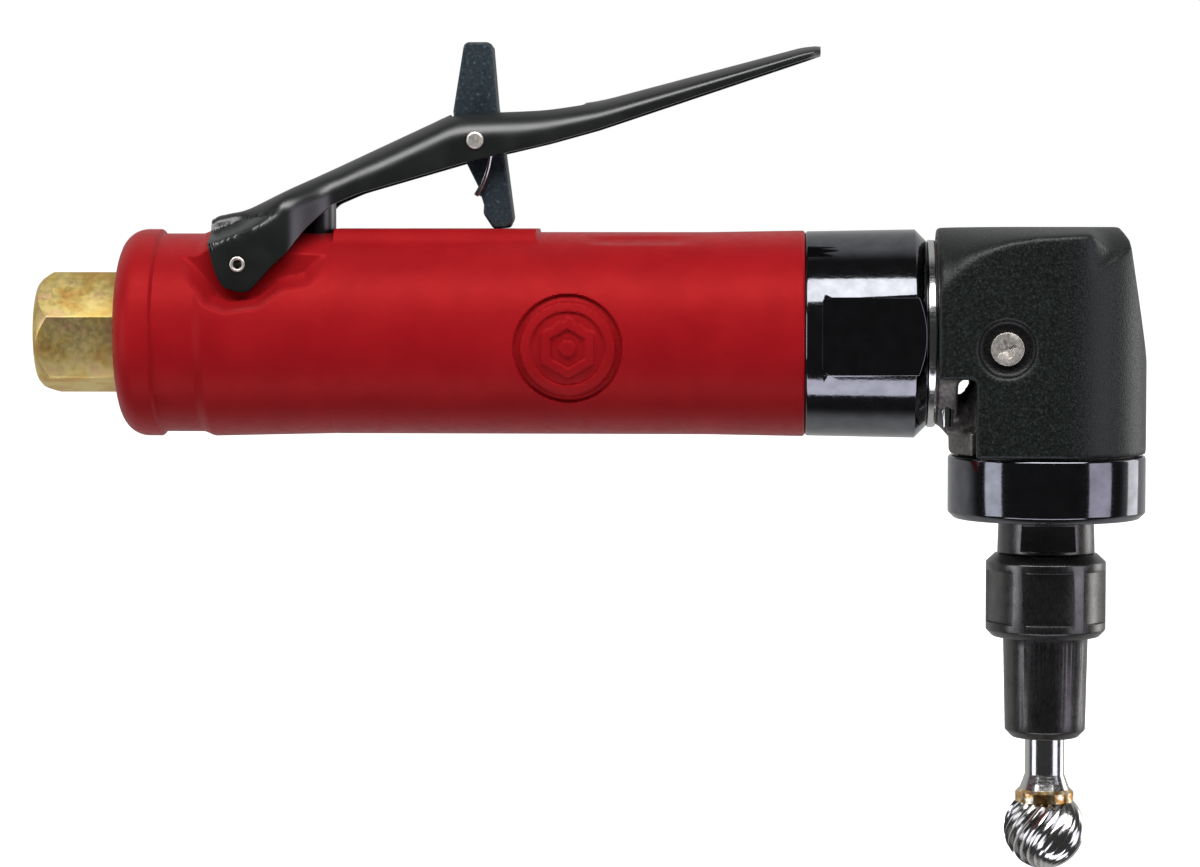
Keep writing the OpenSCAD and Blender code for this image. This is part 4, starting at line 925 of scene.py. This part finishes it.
twisted = add(tree, "ShaderNodeVectorRotate", {"Vector": drawn, "Axis": (0, 0, 1), "Angle": twist},
              rotation_type="AXIS_ANGLE").outputs["Vector"]
moved = add(tree, "ShaderNodeVectorMath", {0: twisted, 1: given["Centre"]}, operation="ADD").outputs["Vector"]
fluted = add(tree, "GeometryNodeSetPosition", {"Geometry": ball, "Position": moved}).outputs["Geometry"]
close(tree, fluted, "carbide")
burr = grow("fluted_ball_burr", tree, radius=BURR_R, centre=burr_centre)
smooth_where_soft(burr, 30)
finish_piece(burr, "spindle", "carbide", "burr_head")

# %% [markdown]
# The lock lever is turned back by a torsion spring of thin wire: a short coil on each side of the lock, round its pin,
# with one leg down to the foot. The inlet's thread is one ridge that winds round the bore.

# %% Grow the springs and the thread
COIL_R = 2.2 * MM
COIL_Y, COIL_WIDTH = 3.5, 1.0
LEG_BEND, LEG_END = (2.4, 3.4, -5.0), (-0.1, 3.3, -8.8)
tree, given = recipe("torsion_coil", {
    "Mean Radius": ("Float", COIL_R), "Wire": ("Float", 0.0004), "Turns": ("Float", 1.25), "Width": ("Float", 0.001),
    "Place": ("Vector", (0, 0, 0)), "Leg": ("Vector", (0, 0, 0)), "Foot": ("Vector", (0, 0, 0))})
coil = add(tree, "GeometryNodeCurveSpiral", {
    "Resolution": 24, "Rotations": given["Turns"], "Start Radius": given["Mean Radius"],
    "End Radius": given["Mean Radius"], "Height": given["Width"]}).outputs["Curve"]
laid = add(tree, "GeometryNodeTransform", {
    "Geometry": coil, "Translation": given["Place"], "Rotation": (math.pi / 2, 0, 0)}).outputs["Geometry"]
side_start = add(tree, "ShaderNodeVectorMath", {0: given["Place"], 1: (COIL_R, 0, 0)},
                 operation="ADD").outputs["Vector"]
leg = add(tree, "GeometryNodeCurveQuadraticBezier", {
    "Resolution": 14, "Start": side_start, "Middle": given["Leg"], "End": given["Foot"]}).outputs["Curve"]
wires = add(tree, "GeometryNodeJoinGeometry")
tree.links.new(laid, wires.inputs["Geometry"])
tree.links.new(leg, wires.inputs["Geometry"])
wire_ring = add(tree, "GeometryNodeCurvePrimitiveCircle", {"Resolution": 12, "Radius": given["Wire"]}).outputs["Curve"]
drawn_wire = add(tree, "GeometryNodeCurveToMesh", {
    "Curve": wires.outputs["Geometry"], "Profile Curve": wire_ring, "Fill Caps": True}).outputs["Mesh"]
close(tree, drawn_wire, "bright_steel")
coils = []
for end in (-1, 1):
    offset = Vector((LOCK.x, end * COIL_Y + (0.0 if end < 0 else COIL_WIDTH), LOCK.z)) * MM
    coils.append(grow(f"lock_coil_{'near' if end < 0 else 'far'}", tree, place=offset, width=COIL_WIDTH * MM,
                      leg=Vector((LOCK.x + LEG_BEND[0], end * LEG_BEND[1], LOCK.z + LEG_BEND[2])) * MM,
                      foot=Vector((LOCK.x + LEG_END[0], end * LEG_END[1], LOCK.z + LEG_END[2])) * MM))
for coil_piece in coils:
    coil_piece.data.shade_smooth()
finish_piece(coils[0], "lock", "bright_steel", "lock_spring")
finish_piece(coils[1], "lock", "bright_steel")

tree, given = recipe("winding_thread", {
    "Radius": ("Float", 0.00565), "Ridge": ("Float", 0.00045), "Pitch": ("Float", 0.00141),
    "Turns": ("Float", 7.0), "Start": ("Float", 0.0008)})
thread_length = maths(tree, "MULTIPLY", given["Pitch"], given["Turns"])
helix = add(tree, "GeometryNodeCurveSpiral", {
    "Resolution": 48, "Rotations": given["Turns"], "Start Radius": given["Radius"],
    "End Radius": given["Radius"], "Height": thread_length}).outputs["Curve"]
start_place = add(tree, "ShaderNodeCombineXYZ", {"X": given["Start"]}).outputs["Vector"]
along = add(tree, "GeometryNodeTransform", {
    "Geometry": helix, "Translation": start_place, "Rotation": (0, math.pi / 2, 0)}).outputs["Geometry"]
crest = add(tree, "GeometryNodeCurvePrimitiveCircle", {"Resolution": 4, "Radius": given["Ridge"]}).outputs["Curve"]
ridge = add(tree, "GeometryNodeCurveToMesh",
            {"Curve": along, "Profile Curve": crest, "Fill Caps": True}).outputs["Mesh"]
close(tree, ridge, "yellow_zinc")
finish_piece(grow("inlet_thread", tree), "root", "yellow_zinc")

# %% Measure the sizes and finish
visual_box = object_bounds()
sizes = {"cad": [list(corner) for corner in cad_box], "visual": [list(corner) for corner in visual_box]}
print("size in mm:", [round(c / MM, 1) for c in visual_box[1] - visual_box[0]])
